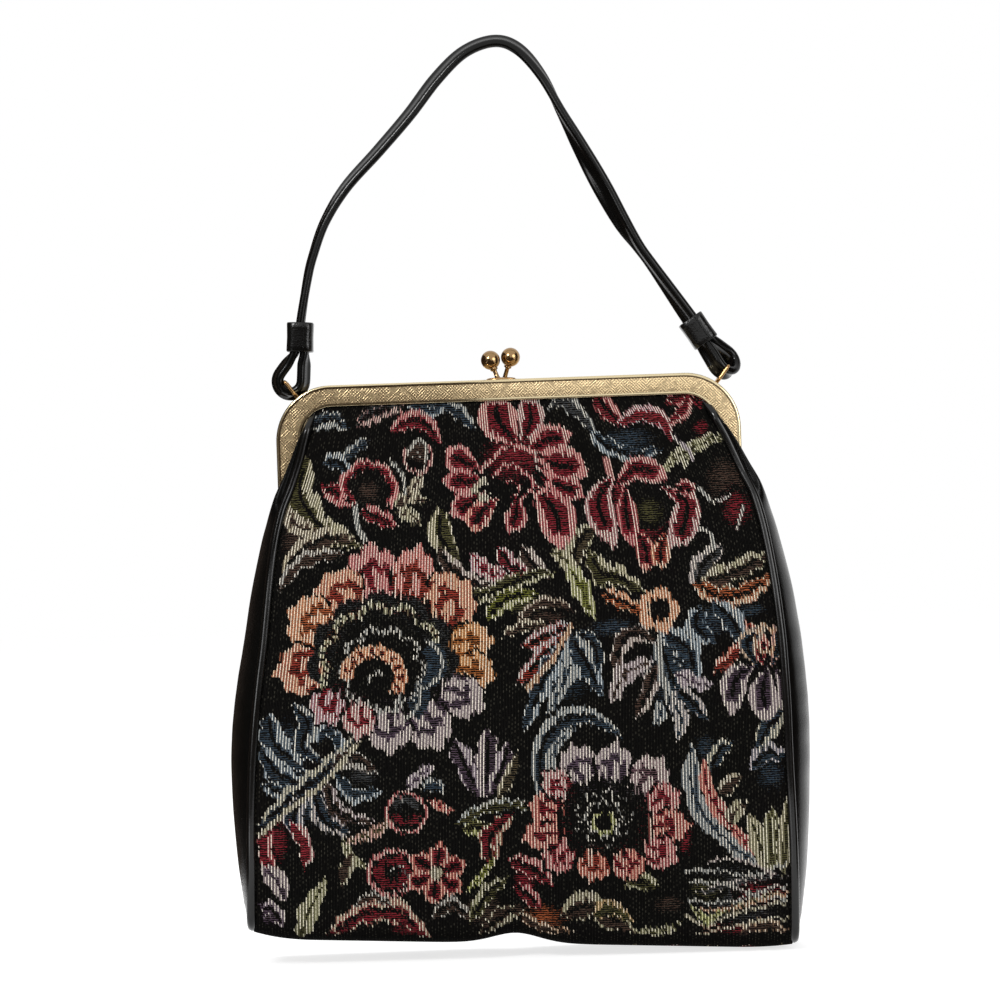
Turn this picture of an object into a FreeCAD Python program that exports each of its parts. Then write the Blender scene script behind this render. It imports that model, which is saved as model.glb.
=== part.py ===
# Kiss lock frame purse: a two-part hinged metal frame, a tapestry bag with vinyl gussets and a strap handle.
# Millimetres. +Z is up, the front faces -Y, and the origin is under the middle of the base.
import FreeCAD
import Part
import Sketcher
import math
import os

Vector = FreeCAD.Vector

SIZES = (
    # frame
    ("frame_width", 203.2),
    ("bag_height", 246.0),
    ("frame_reach", 54.0),
    ("half_depth", 9.5),
    ("parting_gap", 0.3),
    ("sheet_metal", 0.8),
    ("band_height", 9.0),
    ("arm_face", 10.5),
    ("corner_outer", 24.0),
    ("corner_inner", 14.0),
    ("lip_height", 6.0),
    ("face_tail", 2.0),
    # hinge
    ("ear_radius", 5.5),
    ("ear_clearance", 0.4),
    ("joggle_length", 3.0),
    ("rivet_radius", 1.2),
    ("rivet_running", 0.05),
    ("rivet_press", 0.01),
    ("rivet_head_radius", 2.4),
    ("rivet_head_height", 1.0),
    ("washer_radius", 2.6),
    ("washer_thickness", 0.5),
    ("washer_running", 0.05),
    # kiss lock
    ("ball_radius", 4.25),
    ("ball_gap", 0.35),
    ("ball_pair_shift", -2.4),
    ("ball_front_rise", 9.0),
    ("ball_rear_rise", 10.2),
    ("ball_setback", 2.2),
    ("ball_bite", 2.2),
    ("stem_radius", 1.0),
    ("stem_press", 0.02),
    ("stem_spread", 2.4),
    ("foot_length", 13.0),
    ("foot_width", 5.5),
    ("foot_height", 1.0),
    # bails and strap
    ("bail_angle", 53.0),
    ("bail_wire", 0.8),
    ("bail_bend", 1.0),
    ("bail_neck", 0.6),
    ("bail_splay_drop", 0.9),
    ("bail_hole_play", 0.05),
    ("bail_tail", 0.9),
    ("strap_width", 9.5),
    ("strap_thick", 4.0),
    ("strap_play", 0.25),
    ("loop_bore", 3.8),
    ("loop_stand_off", 3.8),
    ("loop_lean", 56.0),
    ("loop_drop_left", 11.3),
    ("loop_side_left", -4.5),
    ("loop_drop_right", 11.5),
    ("loop_side_right", 2.8),
    ("sleeve_length", 13.0),
    ("sleeve_wall", 1.5),
    ("sleeve_play", 0.15),
    ("sleeve_round", 1.2),
    ("sleeve_tilt_left", 3.0),
    ("sleeve_tilt_right", -33.0),
    ("flex_rise", 40.0),
    ("strap_joint_gap", 0.1),
    # cloth
    ("cloth", 1.4),
    ("vinyl", 1.2),
    ("lining", 0.6),
    ("lining_gap", 0.4),
    ("face_gap", 0.2),
    ("front_gap", 0.4),
    ("piping_radius", 2.0),
    ("seam_gap", 0.4),
    ("paper_cord_radius", 1.5),
    ("cord_gap", 0.3),
    ("cord_stop", 15.0),
    ("lap_gap", 1.4),
    ("lap_length", 1.0),
    ("board_thickness", 2.0),
    ("board_gap", 0.3),
    ("board_end_gap", 3.0),
    ("heel_radius", 9.0),
    ("lining_stop", 9.0),
    # upper cloth, measured from the frame and its hinge
    ("edge_drop", 1.0),
    ("edge_out", 1.9),
    ("edge_swell", 7.9),
    ("edge_crown", 3.6),
    ("edge_bulge", 6.0),
    ("lap_out", 1.0),
    ("swell_rise", 10.0),
    ("swell_in", 2.8),
    ("swell_depth", 1.3),
    ("swell_crown", 3.2),
    ("breast_rise", 21.0),
    ("breast_in", 6.6),
    ("breast_crown", 2.2),
    ("throat_drop", 8.0),
    ("throat_in", 2.8),
    ("throat_crown", 0.4),
    ("mouth_drop", 3.0),
    ("mouth_in", 8.1),
    ("lobe_gap", 0.2),
    ("lobe_low_drop", 0.6),
    ("lobe_low_out", 4.6),
    ("lobe_mid_out", 4.2),
    ("lobe_high_out", 3.6),
    ("lobe_tip_rise", 28.0),
    ("lobe_tip_out", 1.2),
    # bag sections below the hinge: height, half width and half depth at the seam, crown and side bulge
    ("heel_rise", 10.0),
    ("heel_half", 117.6),
    ("heel_depth", 26.0),
    ("heel_bulge", 4.0),
    ("low_rise", 45.0),
    ("low_half", 117.3),
    ("low_depth", 27.0),
    ("low_crown", 5.5),
    ("low_bulge", 8.6),
    ("belly_rise", 95.0),
    ("belly_half", 115.4),
    ("belly_depth", 26.5),
    ("belly_crown", 8.0),
    ("belly_bulge", 11.5),
    ("chest_rise", 145.0),
    ("chest_half", 111.0),
    ("chest_depth", 23.5),
    ("chest_crown", 7.0),
    ("chest_bulge", 9.3),
    ("shoulder_drop", 17.0),
    ("shoulder_out", 5.4),
    ("shoulder_swell", 10.0),
    ("shoulder_crown", 5.0),
    ("shoulder_bulge", 7.2),
    ("heel_straight", 2.0),
    ("heel_cut", 2.5),
    ("heel_cut_rise", 5.2),
    ("heel_clear", 3.1),
    ("piping_lift", 0.15),
    ("tip_bulge", 3.0),
)

doc = FreeCAD.newDocument("Purse")
sheet = doc.addObject("Spreadsheet::Sheet", "Sizes")
for row, (alias, number) in enumerate(SIZES, 1):
    sheet.set("A%d" % row, alias)
    sheet.set("B%d" % row, str(number))
    sheet.setAlias("B%d" % row, alias)
doc.recompute()

parts = []


def size(alias):
    return float(sheet.get(alias))


def value(expression):
    return float(sheet.evalExpression(expression))


# Sub-part and sketch helpers


def new_body(label):
    body = doc.addObject("PartDesign::Body", label)
    body.Label = label
    parts.append(body)
    return body


def new_feature(label, shape, placement=None):
    piece = doc.addObject("Part::Feature", label)
    piece.Label = label
    piece.Shape = shape
    if placement is not None:
        piece.Placement = placement
    parts.append(piece)
    return piece


def new_sketch(body, role, offset):
    sketch = body.newObject("Sketcher::SketchObject", "Sketch")
    support = [item for item in body.Origin.OriginFeatures if item.Role == role][0]
    sketch.AttachmentSupport = (support, [""])
    sketch.MapMode = "FlatFace"
    sketch.setExpression("AttachmentOffset.Base.z", offset)
    return sketch


def set_size(sketch, kind, refs, expression):
    index = sketch.addConstraint(Sketcher.Constraint(kind, *refs, value(expression)))
    sketch.setExpression("Constraints[%d]" % index, expression)


def join(sketch, kind, *refs):
    sketch.addConstraint(Sketcher.Constraint(kind, *refs))


def line(ax, ay, bx, by):
    return Part.LineSegment(Vector(ax, ay, 0), Vector(bx, by, 0))


def quarter(cx, cy, radius, start):
    circle = Part.Circle(Vector(cx, cy, 0), Vector(0, 0, 1), radius)
    return Part.ArcOfCircle(circle, math.radians(start), math.radians(start + 90))


def add_arch(sketch, half, top, corner, inner_half, inner_top, inner_corner, bottom):
    # the outline of an upside-down U with round corners, outside and inside
    w, t, r, b = value(half), value(top), value(corner), value(bottom)
    iw, it, ir = value(inner_half), value(inner_top), value(inner_corner)
    sketch.addGeometry(line(-w, b, -w, t - r))
    sketch.addGeometry(quarter(r - w, t - r, r, 90))
    sketch.addGeometry(line(r - w, t, w - r, t))
    sketch.addGeometry(quarter(w - r, t - r, r, 0))
    sketch.addGeometry(line(w, t - r, w, b))
    sketch.addGeometry(line(w, b, iw, b))
    sketch.addGeometry(line(iw, b, iw, it - ir))
    sketch.addGeometry(quarter(iw - ir, it - ir, ir, 0))
    sketch.addGeometry(line(iw - ir, it, ir - iw, it))
    sketch.addGeometry(quarter(ir - iw, it - ir, ir, 90))
    sketch.addGeometry(line(-iw, it - ir, -iw, b))
    sketch.addGeometry(line(-iw, b, -w, b))
    for refs in ((0, 2, 1, 2), (1, 1, 2, 1), (2, 2, 3, 2), (3, 1, 4, 1)):
        join(sketch, "Tangent", *refs)
    for refs in ((6, 2, 7, 1), (7, 2, 8, 1), (8, 2, 9, 1), (9, 2, 10, 1)):
        join(sketch, "Tangent", *refs)
    for refs in ((4, 2, 5, 1), (5, 2, 6, 1), (10, 2, 11, 1), (11, 2, 0, 1)):
        join(sketch, "Coincident", *refs)
    for edge in (0, 4, 6, 10):
        join(sketch, "Vertical", edge)
    for edge in (2, 8, 5, 11):
        join(sketch, "Horizontal", edge)
    for edge in (1, 3):
        set_size(sketch, "Radius", (edge,), corner)
    for edge in (7, 9):
        set_size(sketch, "Radius", (edge,), inner_corner)
    set_size(sketch, "DistanceX", (-1, 1, 4, 2), half)
    set_size(sketch, "DistanceX", (0, 1, -1, 1), half)
    set_size(sketch, "DistanceX", (-1, 1, 6, 1), inner_half)
    set_size(sketch, "DistanceX", (10, 2, -1, 1), inner_half)
    set_size(sketch, "DistanceY", (-1, 1, 2, 1), top)
    set_size(sketch, "DistanceY", (-1, 1, 8, 1), inner_top)
    set_size(sketch, "DistanceY", (-1, 1, 5, 1), bottom)
    set_size(sketch, "DistanceY", (-1, 1, 11, 1), bottom)


def add_rectangle(sketch, left, bottom, right, top):
    x0, y0, x1, y1 = value(left), value(bottom), value(right), value(top)
    first = sketch.GeometryCount
    corners = ((x0, y0), (x1, y0), (x1, y1), (x0, y1))
    for index in range(4):
        sketch.addGeometry(line(*corners[index], *corners[(index + 1) % 4]))
    for index in range(4):
        join(sketch, "Coincident", first + index, 2, first + (index + 1) % 4, 1)
    for index in (0, 2):
        join(sketch, "Horizontal", first + index)
    for index in (1, 3):
        join(sketch, "Vertical", first + index)
    set_size(sketch, "DistanceX", (-1, 1, first, 1), left)
    set_size(sketch, "DistanceY", (-1, 1, first, 1), bottom)
    set_size(sketch, "DistanceX", (-1, 1, first + 2, 1), right)
    set_size(sketch, "DistanceY", (-1, 1, first + 2, 1), top)


def add_hinge_circle(sketch, radius):
    # a circle round the hinge axis, in a side view
    circle = Part.Circle(Vector(0, value(HINGE), 0), Vector(0, 0, 1), value(radius))
    index = sketch.addGeometry(circle)
    join(sketch, "PointOnObject", index, 3, -2)
    set_size(sketch, "DistanceY", (-1, 1, index, 3), HINGE)
    set_size(sketch, "Radius", (index,), radius)


def add_pad(body, sketch, length):
    pad = body.newObject("PartDesign::Pad", "Pad")
    pad.Profile = sketch
    pad.setExpression("Length", length)
    return pad


def add_mirror(body, features):
    mirror = body.newObject("PartDesign::Mirrored", "Mirrored")
    mirror.Originals = features
    side = [item for item in body.Origin.OriginFeatures if item.Role == "YZ_Plane"][0]
    mirror.MirrorPlane = (side, [""])
    body.Tip = mirror
    return mirror


# Shared expressions

TOP = "Sizes.bag_height"
HINGE = "Sizes.bag_height - Sizes.frame_reach"
HALF = "Sizes.frame_width / 2"
SHEET = "Sizes.sheet_metal"
PART = "Sizes.parting_gap / 2"
INNER_HALF = "Sizes.frame_width / 2 - Sizes.arm_face"
INNER_TOP = "Sizes.bag_height - Sizes.band_height"
EAR_GAP = "(Sizes.washer_thickness + 2 * Sizes.washer_running)"
RIM_STOP = "Sizes.bag_height - Sizes.frame_reach + Sizes.ear_radius + Sizes.ear_clearance"
LIP_STOP = RIM_STOP + " + Sizes.joggle_length + Sizes.ear_clearance"
REAR_EAR = "Sizes.frame_width / 2 - 2 * Sizes.sheet_metal - " + EAR_GAP

top = value(TOP)
hinge = value(HINGE)
half = value(HALF)
sheet_metal = size("sheet_metal")
depth = size("half_depth")

# Frame halves: a rolled channel with a face band, a rim and an inner lip


def add_channel(body, side, rim_bottom):
    sketches = []
    if side < 0:
        offsets = ("Sizes.half_depth - " + SHEET, PART, PART)
    else:
        offsets = ("-Sizes.half_depth", "-Sizes.half_depth", "-(" + PART + " + " + SHEET + ")")
    face = new_sketch(body, "XZ_Plane", offsets[0])
    face_bottom = HINGE + " - Sizes.face_tail"
    add_arch(face, HALF, TOP, "Sizes.corner_outer", INNER_HALF, INNER_TOP, "Sizes.corner_inner", face_bottom)
    sketches.append(add_pad(body, face, SHEET))
    rim = new_sketch(body, "XZ_Plane", offsets[1])
    inside = HALF + " - " + SHEET
    add_arch(rim, HALF, TOP, "Sizes.corner_outer", inside, TOP + " - " + SHEET,
             "Sizes.corner_outer - " + SHEET, rim_bottom)
    sketches.append(add_pad(body, rim, "Sizes.half_depth - " + PART))
    lip = new_sketch(body, "XZ_Plane", offsets[2])
    add_arch(lip, HALF, TOP, "Sizes.corner_outer", HALF + " - Sizes.lip_height",
             TOP + " - Sizes.lip_height", "Sizes.corner_outer - Sizes.lip_height", LIP_STOP)
    sketches.append(add_pad(body, lip, SHEET))
    return sketches


def add_hinge_hole(body, radius):
    sketch = new_sketch(body, "YZ_Plane", "0")
    add_hinge_circle(sketch, radius)
    hole = body.newObject("PartDesign::Pocket", "Pocket")
    hole.Profile = sketch
    hole.Type = "ThroughAll"
    hole.Midplane = True
    return hole


frame_front = new_body("frame_front")
add_channel(frame_front, -1, HINGE)
ear = new_sketch(frame_front, "YZ_Plane", HALF + " - " + SHEET)
add_hinge_circle(ear, "Sizes.ear_radius")
add_mirror(frame_front, [add_pad(frame_front, ear, SHEET)])
add_hinge_hole(frame_front, "Sizes.rivet_radius + Sizes.rivet_running")

# The rear ears are stepped inward so that the front ears pass outside them.
frame_rear = new_body("frame_rear")
add_channel(frame_rear, 1, RIM_STOP)
ear = new_sketch(frame_rear, "YZ_Plane", REAR_EAR)
add_hinge_circle(ear, "Sizes.ear_radius")
disc = add_pad(frame_rear, ear, SHEET)
tab = new_sketch(frame_rear, "YZ_Plane", REAR_EAR)
add_rectangle(tab, PART, HINGE, "Sizes.ear_radius", RIM_STOP + " + Sizes.joggle_length")
shank = add_pad(frame_rear, tab, SHEET)
step = new_sketch(frame_rear, "YZ_Plane", REAR_EAR)
add_rectangle(step, PART, RIM_STOP, "Sizes.ear_radius", RIM_STOP + " + Sizes.joggle_length")
joggle = add_pad(frame_rear, step, "2 * " + SHEET + " + " + EAR_GAP)
add_mirror(frame_rear, [disc, shank, joggle])
add_hinge_hole(frame_rear, "Sizes.rivet_radius + Sizes.rivet_press")

# The bails' legs pass through four holes in the rear rim, square to its round corners.
bail_rise = math.radians(size("bail_angle"))
corner = size("corner_outer")
wire = size("bail_wire")
bail_foot_y = (size("parting_gap") / 2 + depth) / 2
leg_half = size("strap_width") / 2 + size("strap_play") + wire
foot_half = (depth - size("parting_gap") / 2) / 2 - sheet_metal - wire
corner_z = top - corner


def bail_direction(side):
    return Vector(side * math.cos(bail_rise), 0, math.sin(bail_rise))


def bail_root(side):
    return Vector(side * (half - corner), 0, corner_z) + bail_direction(side) * corner


for side in (-1, 1):
    for leg in (-1, 1):
        hole = frame_rear.newObject("PartDesign::SubtractiveCylinder", "BailHole")
        hole.setExpression("Radius", "Sizes.bail_wire + Sizes.bail_hole_play")
        hole.setExpression("Height", "4 * Sizes.sheet_metal")
        start = bail_root(side) - bail_direction(side) * (2 * sheet_metal)
        start.y = bail_foot_y + leg * foot_half
        turn = FreeCAD.Rotation(Vector(0, 0, 1), bail_direction(side))
        hole.Placement = FreeCAD.Placement(start, turn)

# Hinge rivets, fixed in the rear ears and running in the front ears
rivets = new_body("hinge_rivets")
inner_head = REAR_EAR + " - Sizes.rivet_running - Sizes.rivet_head_height"
outer_head = HALF + " + Sizes.rivet_running"
sketch = new_sketch(rivets, "YZ_Plane", inner_head)
add_hinge_circle(sketch, "Sizes.rivet_head_radius")
head_a = add_pad(rivets, sketch, "Sizes.rivet_head_height")
sketch = new_sketch(rivets, "YZ_Plane", inner_head)
add_hinge_circle(sketch, "Sizes.rivet_radius")
pin_length = "Sizes.rivet_head_height + 2 * Sizes.rivet_running + 2 * Sizes.sheet_metal + " + EAR_GAP
pin = add_pad(rivets, sketch, pin_length)
sketch = new_sketch(rivets, "YZ_Plane", outer_head)
add_hinge_circle(sketch, "Sizes.rivet_head_radius")
head_b = add_pad(rivets, sketch, "Sizes.rivet_head_height")
add_mirror(rivets, [head_a, pin, head_b])

washers = new_body("hinge_washers")
sketch = new_sketch(washers, "YZ_Plane", HALF + " - " + SHEET + " - Sizes.washer_running - Sizes.washer_thickness")
add_hinge_circle(sketch, "Sizes.washer_radius")
add_hinge_circle(sketch, "Sizes.rivet_radius + Sizes.rivet_running")
add_mirror(washers, [add_pad(washers, sketch, "Sizes.washer_thickness")])

# Paper cords that wedge the cloth in the channels


def add_paper_cord(label, side):
    body = new_body(label)
    inset = "(" + SHEET + " + Sizes.cord_gap + Sizes.paper_cord_radius)"
    back = "(Sizes.half_depth - " + SHEET + " - Sizes.face_gap - Sizes.cloth - Sizes.cord_gap - Sizes.paper_cord_radius)"
    path = new_sketch(body, "XZ_Plane", back if side < 0 else "-" + back)
    w = value(HALF + " - " + inset)
    t = value(TOP + " - " + inset)
    r = value("Sizes.corner_outer - " + inset)
    b = value(HINGE + " + Sizes.cord_stop")
    path.addGeometry(line(-w, b, -w, t - r))
    path.addGeometry(quarter(r - w, t - r, r, 90))
    path.addGeometry(line(r - w, t, w - r, t))
    path.addGeometry(quarter(w - r, t - r, r, 0))
    path.addGeometry(line(w, t - r, w, b))
    for refs in ((0, 2, 1, 2), (1, 1, 2, 1), (2, 2, 3, 2), (3, 1, 4, 1)):
        join(path, "Tangent", *refs)
    join(path, "Vertical", 0)
    join(path, "Horizontal", 2)
    join(path, "Vertical", 4)
    set_size(path, "Radius", (1,), "Sizes.corner_outer - " + inset)
    set_size(path, "Radius", (3,), "Sizes.corner_outer - " + inset)
    set_size(path, "DistanceX", (0, 1, -1, 1), HALF + " - " + inset)
    set_size(path, "DistanceX", (-1, 1, 4, 2), HALF + " - " + inset)
    set_size(path, "DistanceY", (-1, 1, 2, 1), TOP + " - " + inset)
    set_size(path, "DistanceY", (-1, 1, 0, 1), HINGE + " + Sizes.cord_stop")
    set_size(path, "DistanceY", (-1, 1, 4, 2), HINGE + " + Sizes.cord_stop")
    profile = new_sketch(body, "XY_Plane", HINGE + " + Sizes.cord_stop")
    centre = Vector(-w, side * value(back), 0)
    profile.addGeometry(Part.Circle(centre, Vector(0, 0, 1), size("paper_cord_radius")))
    set_size(profile, "Radius", (0,), "Sizes.paper_cord_radius")
    set_size(profile, "DistanceX", (-1, 1, 0, 3), "-(" + HALF + " - " + inset + ")")
    set_size(profile, "DistanceY", (-1, 1, 0, 3), back if side > 0 else "-" + back)
    pipe = body.newObject("PartDesign::AdditivePipe", "AdditivePipe")
    pipe.Profile = profile
    pipe.Spine = path


add_paper_cord("paper_cord_front", -1)
add_paper_cord("paper_cord_rear", 1)

# Kiss lock: a ball on a leaning stem on each half, side by side when shut
ball_radius = size("ball_radius")
ball_step = 2 * ball_radius + size("ball_gap")
pair_x = size("ball_pair_shift")


def add_lock(name, side, rise):
    ball_x = pair_x + side * ball_step / 2
    foot = Vector(pair_x + side * size("stem_spread") / 2, side * bail_foot_y, top)
    centre = Vector(ball_x, side * size("ball_setback"), top + rise)
    axis = centre - foot
    reach = axis.Length - ball_radius + size("ball_bite")
    stem = Part.makeCylinder(size("stem_radius"), reach, foot, axis)
    below = Part.makeBox(40, 40, 20, foot - Vector(20, 20, 20))
    plate = Part.makeBox(size("foot_length"), size("foot_width"), size("foot_height"),
                         Vector(pair_x - size("foot_length") / 2, foot.y - size("foot_width") / 2, top))
    upright = [edge for edge in plate.Edges if abs(edge.Vertexes[0].Z - edge.Vertexes[1].Z) > 0.1]
    plate = plate.makeFillet(0.45 * size("foot_width"), upright)
    new_feature("kiss_stem_" + name, stem.cut(below).fuse(plate).removeSplitter())
    ball = doc.addObject("Part::Sphere", "Sphere")
    ball.setExpression("Radius", "Sizes.ball_radius")
    ball.Placement = FreeCAD.Placement(centre, FreeCAD.Rotation())
    bore = doc.addObject("Part::Cylinder", "Bore")
    bore.setExpression("Radius", "Sizes.stem_radius + Sizes.stem_press")
    bore.Height = reach + size("stem_press")
    bore.Placement = FreeCAD.Placement(foot, FreeCAD.Rotation(Vector(0, 0, 1), axis))
    piece = doc.addObject("Part::Cut", "kiss_ball_" + name)
    piece.Label = "kiss_ball_" + name
    piece.Base = ball
    piece.Tool = bore
    parts.append(piece)


add_lock("front", -1, size("ball_front_rise"))
add_lock("rear", 1, size("ball_rear_rise"))

# Routes of straight runs joined by tangent arcs, and tubes along them


def rounded_route(points, radius=None):
    # with no radius given, each bend is as large as its two runs allow
    edges = []
    start = points[0]
    for before, here, after in zip(points, points[1:], points[2:]):
        back = (before - here).normalize()
        ahead = (after - here).normalize()
        turn = math.pi - back.getAngle(ahead)
        cut = 0.45 * min((before - here).Length, (after - here).Length)
        if radius is not None:
            cut = radius * math.tan(turn / 2)
        bend = cut / math.tan(turn / 2)
        middle = here + (back + ahead).normalize() * (math.hypot(cut, bend) - bend)
        first = here + back * cut
        last = here + ahead * cut
        edges.append(Part.LineSegment(start, first).toShape())
        edges.append(Part.Arc(first, middle, last).toShape())
        start = last
    edges.append(Part.LineSegment(start, points[-1]).toShape())
    return Part.Wire(edges)


def tube(route, radius):
    first = route.Edges[0]
    start = first.valueAt(first.FirstParameter)
    direction = first.tangentAt(first.FirstParameter)
    ring = Part.Wire([Part.Circle(start, direction, radius).toShape()])
    shell = route.makePipeShell([ring], True, False)
    if not shell.isValid() or shell.Volume <= 0:
        raise ValueError("a tube came out invalid")
    return shell


# Bails: a wire staple through the rear rim, wide enough for the strap to pass under its bar
strand_low = size("loop_stand_off")
thick = size("strap_thick")
bore = size("loop_bore")
loop_reach = corner + strand_low + thick + bore
loop_swing = math.radians(size("loop_lean") - size("bail_angle"))
bar_room = bore - wire - size("strap_play")
bar_rise = loop_reach * math.cos(loop_swing) - corner \
    - math.sqrt(bar_room ** 2 - (loop_reach * math.sin(loop_swing)) ** 2)


def add_bail(label, side):
    up = bail_direction(side)
    root = bail_root(side)
    root.y = bail_foot_y
    across = Vector(0, 1, 0)
    profile = (
        (foot_half, -sheet_metal - size("bail_tail")),
        (foot_half, size("bail_neck")),
        (leg_half, strand_low - size("bail_splay_drop")),
        (leg_half, bar_rise),
    )
    points = [root - across * y + up * z for y, z in profile]
    points += [root + across * y + up * z for y, z in reversed(profile)]
    new_feature(label, tube(rounded_route(points, size("bail_bend")), wire))


# Strap ends: folded through the bails and held by sleeves
strap_y = bail_foot_y


def up_of(tilt):
    angle = math.radians(tilt)
    return Vector(math.sin(angle), 0, math.cos(angle))


def right_of(tilt):
    angle = math.radians(tilt)
    return Vector(math.cos(angle), 0, -math.sin(angle))


def loop_centre(side):
    lean = math.radians(size("loop_lean"))
    radial = Vector(side * math.cos(lean), 0, math.sin(lean))
    return Vector(side * (half - corner), strap_y, corner_z) + radial * loop_reach


def sleeve_foot(side):
    name = "left" if side < 0 else "right"
    tilt = size("sleeve_tilt_" + name)
    across = right_of(tilt) * -size("loop_side_" + name)
    return loop_centre(side) + across + up_of(tilt) * size("loop_drop_" + name)


def touch(point, centre, radius, turn):
    # where a straight strand from the point meets the circle
    gap = point - centre
    swing = turn * math.acos(radius / math.hypot(gap.x, gap.z))
    angle = math.atan2(gap.z, gap.x) + swing
    return centre + Vector(radius * math.cos(angle), 0, radius * math.sin(angle))


def around(centre, radius, first, last):
    # the arc below a strap loop, from its left touch point to its right one
    bottom = centre - (first + last - centre * 2).normalize() * radius
    return Part.Arc(first, bottom, last).toShape()


def segment(a, b):
    return Part.LineSegment(a, b).toShape()


def add_strap_end(name, side):
    tilt = size("sleeve_tilt_" + name)
    up, right = up_of(tilt), right_of(tilt)
    centre = loop_centre(side)
    foot = sleeve_foot(side)
    head = foot + up * size("sleeve_length")
    left_out = touch(foot - right * thick, centre, bore + thick, 1)
    right_out = touch(foot + right * thick, centre, bore + thick, -1)
    fork = foot - up * size("strap_play")
    left_in = touch(fork, centre, bore, 1)
    right_in = touch(fork, centre, bore, -1)
    outside = Part.Wire([
        segment(head - right * thick, foot - right * thick),
        segment(foot - right * thick, left_out),
        around(centre, bore + thick, left_out, right_out),
        segment(right_out, foot + right * thick),
        segment(foot + right * thick, head + right * thick),
        segment(head + right * thick, head - right * thick),
    ])
    inside = Part.Wire([
        segment(fork, left_in),
        around(centre, bore, left_in, right_in),
        segment(right_in, fork),
    ])
    shift = Vector(0, -size("strap_width") / 2, 0)
    block = Part.Face(outside).extrude(Vector(0, size("strap_width"), 0))
    hole = Part.Face(inside).extrude(Vector(0, size("strap_width"), 0))
    shape = block.cut(hole)
    shape.translate(shift)
    new_feature("strap_loop_" + name, shape)

    sleeve = new_body("sleeve_" + name)
    grip_x = "(Sizes.strap_thick + Sizes.sleeve_play)"
    grip_y = "(Sizes.strap_width / 2 + Sizes.sleeve_play)"
    sketch = new_sketch(sleeve, "XY_Plane", "0")
    add_rectangle(sketch, "-" + grip_x + " - Sizes.sleeve_wall", "-" + grip_y + " - Sizes.sleeve_wall",
                  grip_x + " + Sizes.sleeve_wall", grip_y + " + Sizes.sleeve_wall")
    add_rectangle(sketch, "-" + grip_x, "-" + grip_y, grip_x, grip_y)
    pad = add_pad(sleeve, sketch, "Sizes.sleeve_length")
    doc.recompute()
    reach = value(grip_x + " + Sizes.sleeve_wall")
    names = []
    for index, edge in enumerate(pad.Shape.Edges, 1):
        a, b = edge.Vertexes[0].Point, edge.Vertexes[-1].Point
        if abs(a.z - b.z) > 0.1 and abs(abs(a.x) - reach) < 0.01:
            names.append("Edge%d" % index)
    fillet = sleeve.newObject("PartDesign::Fillet", "Fillet")
    fillet.Base = (pad, names)
    fillet.setExpression("Radius", "Sizes.sleeve_round")
    sleeve.Placement = FreeCAD.Placement(foot, FreeCAD.Rotation(Vector(0, 0, 1), up))


add_bail("bail_left", -1)
add_bail("bail_right", 1)
add_strap_end("left", -1)
add_strap_end("right", 1)

# Strap handle: a flat strap that turns on its way over, seen from the front, with its twist in degrees
ARCH = (
    (-85.7, 48.0, 3), (-82.7, 58.5, 5), (-77.2, 73.0, 8), (-67.2, 88.0, 12), (-52.2, 103.5, 14),
    (-38.2, 119.0, 18), (-25.2, 133.5, 30), (-13.2, 142.6, 50), (0.0, 146.0, 68), (9.5, 142.5, 45),
    (18.8, 132.5, 20), (26.8, 117.0, -5), (35.3, 100.5, -35), (43.8, 84.0, -58), (51.8, 68.0, -45),
    (58.5, 57.5, -25), (64.9, 48.0, -12),
)


def strap_loft(points):
    wide = size("strap_width") / 2
    deep = thick / 2
    wires = []
    for index, (x, z, twist) in enumerate(points):
        a = points[max(index - 1, 0)]
        b = points[min(index + 1, len(points) - 1)]
        run = Vector(b[0] - a[0], 0, b[1] - a[1]).normalize()
        normal = Vector(-run.z, 0, run.x)
        angle = math.radians(twist)
        along = Vector(0, 1, 0) * math.cos(angle) + normal * math.sin(angle)
        flat = Vector(0, -1, 0) * math.sin(angle) + normal * math.cos(angle)
        here = Vector(x, strap_y, z)
        ring = [here + along * (wide * i) + flat * (deep * j) for i, j in ((-1, -1), (1, -1), (1, 1), (-1, 1))]
        wires.append(Part.makePolygon(ring + ring[:1]))
    return Part.makeLoft(wires, True, False, False)


arch = [(x, top + z, twist) for x, z, twist in ARCH]
new_feature("strap_arch", strap_loft(arch))


def add_flex(name, side, end):
    tilt = size("sleeve_tilt_" + name)
    up = up_of(tilt)
    start = sleeve_foot(side) + up * (size("sleeve_length") + size("strap_joint_gap"))
    near = start + up * 4.0
    twist = end[2]
    before = arch[1] if side < 0 else arch[-2]
    run = Vector(before[0] - end[0], 0, before[1] - end[1]).normalize()
    stop = Vector(end[0], 0, end[1]) - run * size("strap_joint_gap")
    far = stop - run * 4.0
    points = [(start.x, start.z, 0), (near.x, near.z, 0), (far.x, far.z, twist), (stop.x, stop.z, twist)]
    new_feature("strap_flex_" + name, strap_loft(points))


add_flex("left", -1, arch[0])
add_flex("right", 1, arch[-1])

# Cloth sections. Each level is a height, a half width and half depth at the seam, a front crown and a side bulge.
cloth = size("cloth")
seam = size("piping_radius") + size("seam_gap")
levels = [
    (size("heel_rise"), size("heel_half"), size("heel_depth"), 0.0, size("heel_bulge")),
    (size("low_rise"), size("low_half"), size("low_depth"), size("low_crown"), size("low_bulge")),
    (size("belly_rise"), size("belly_half"), size("belly_depth"), size("belly_crown"), size("belly_bulge")),
    (size("chest_rise"), size("chest_half"), size("chest_depth"), size("chest_crown"), size("chest_bulge")),
    (hinge - size("shoulder_drop"), half + size("shoulder_out"), depth + size("shoulder_swell"),
     size("shoulder_crown"), size("shoulder_bulge")),
    (hinge - size("edge_drop"), half + size("edge_out"), depth + size("edge_swell"),
     size("edge_crown"), size("edge_bulge")),
]


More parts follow.
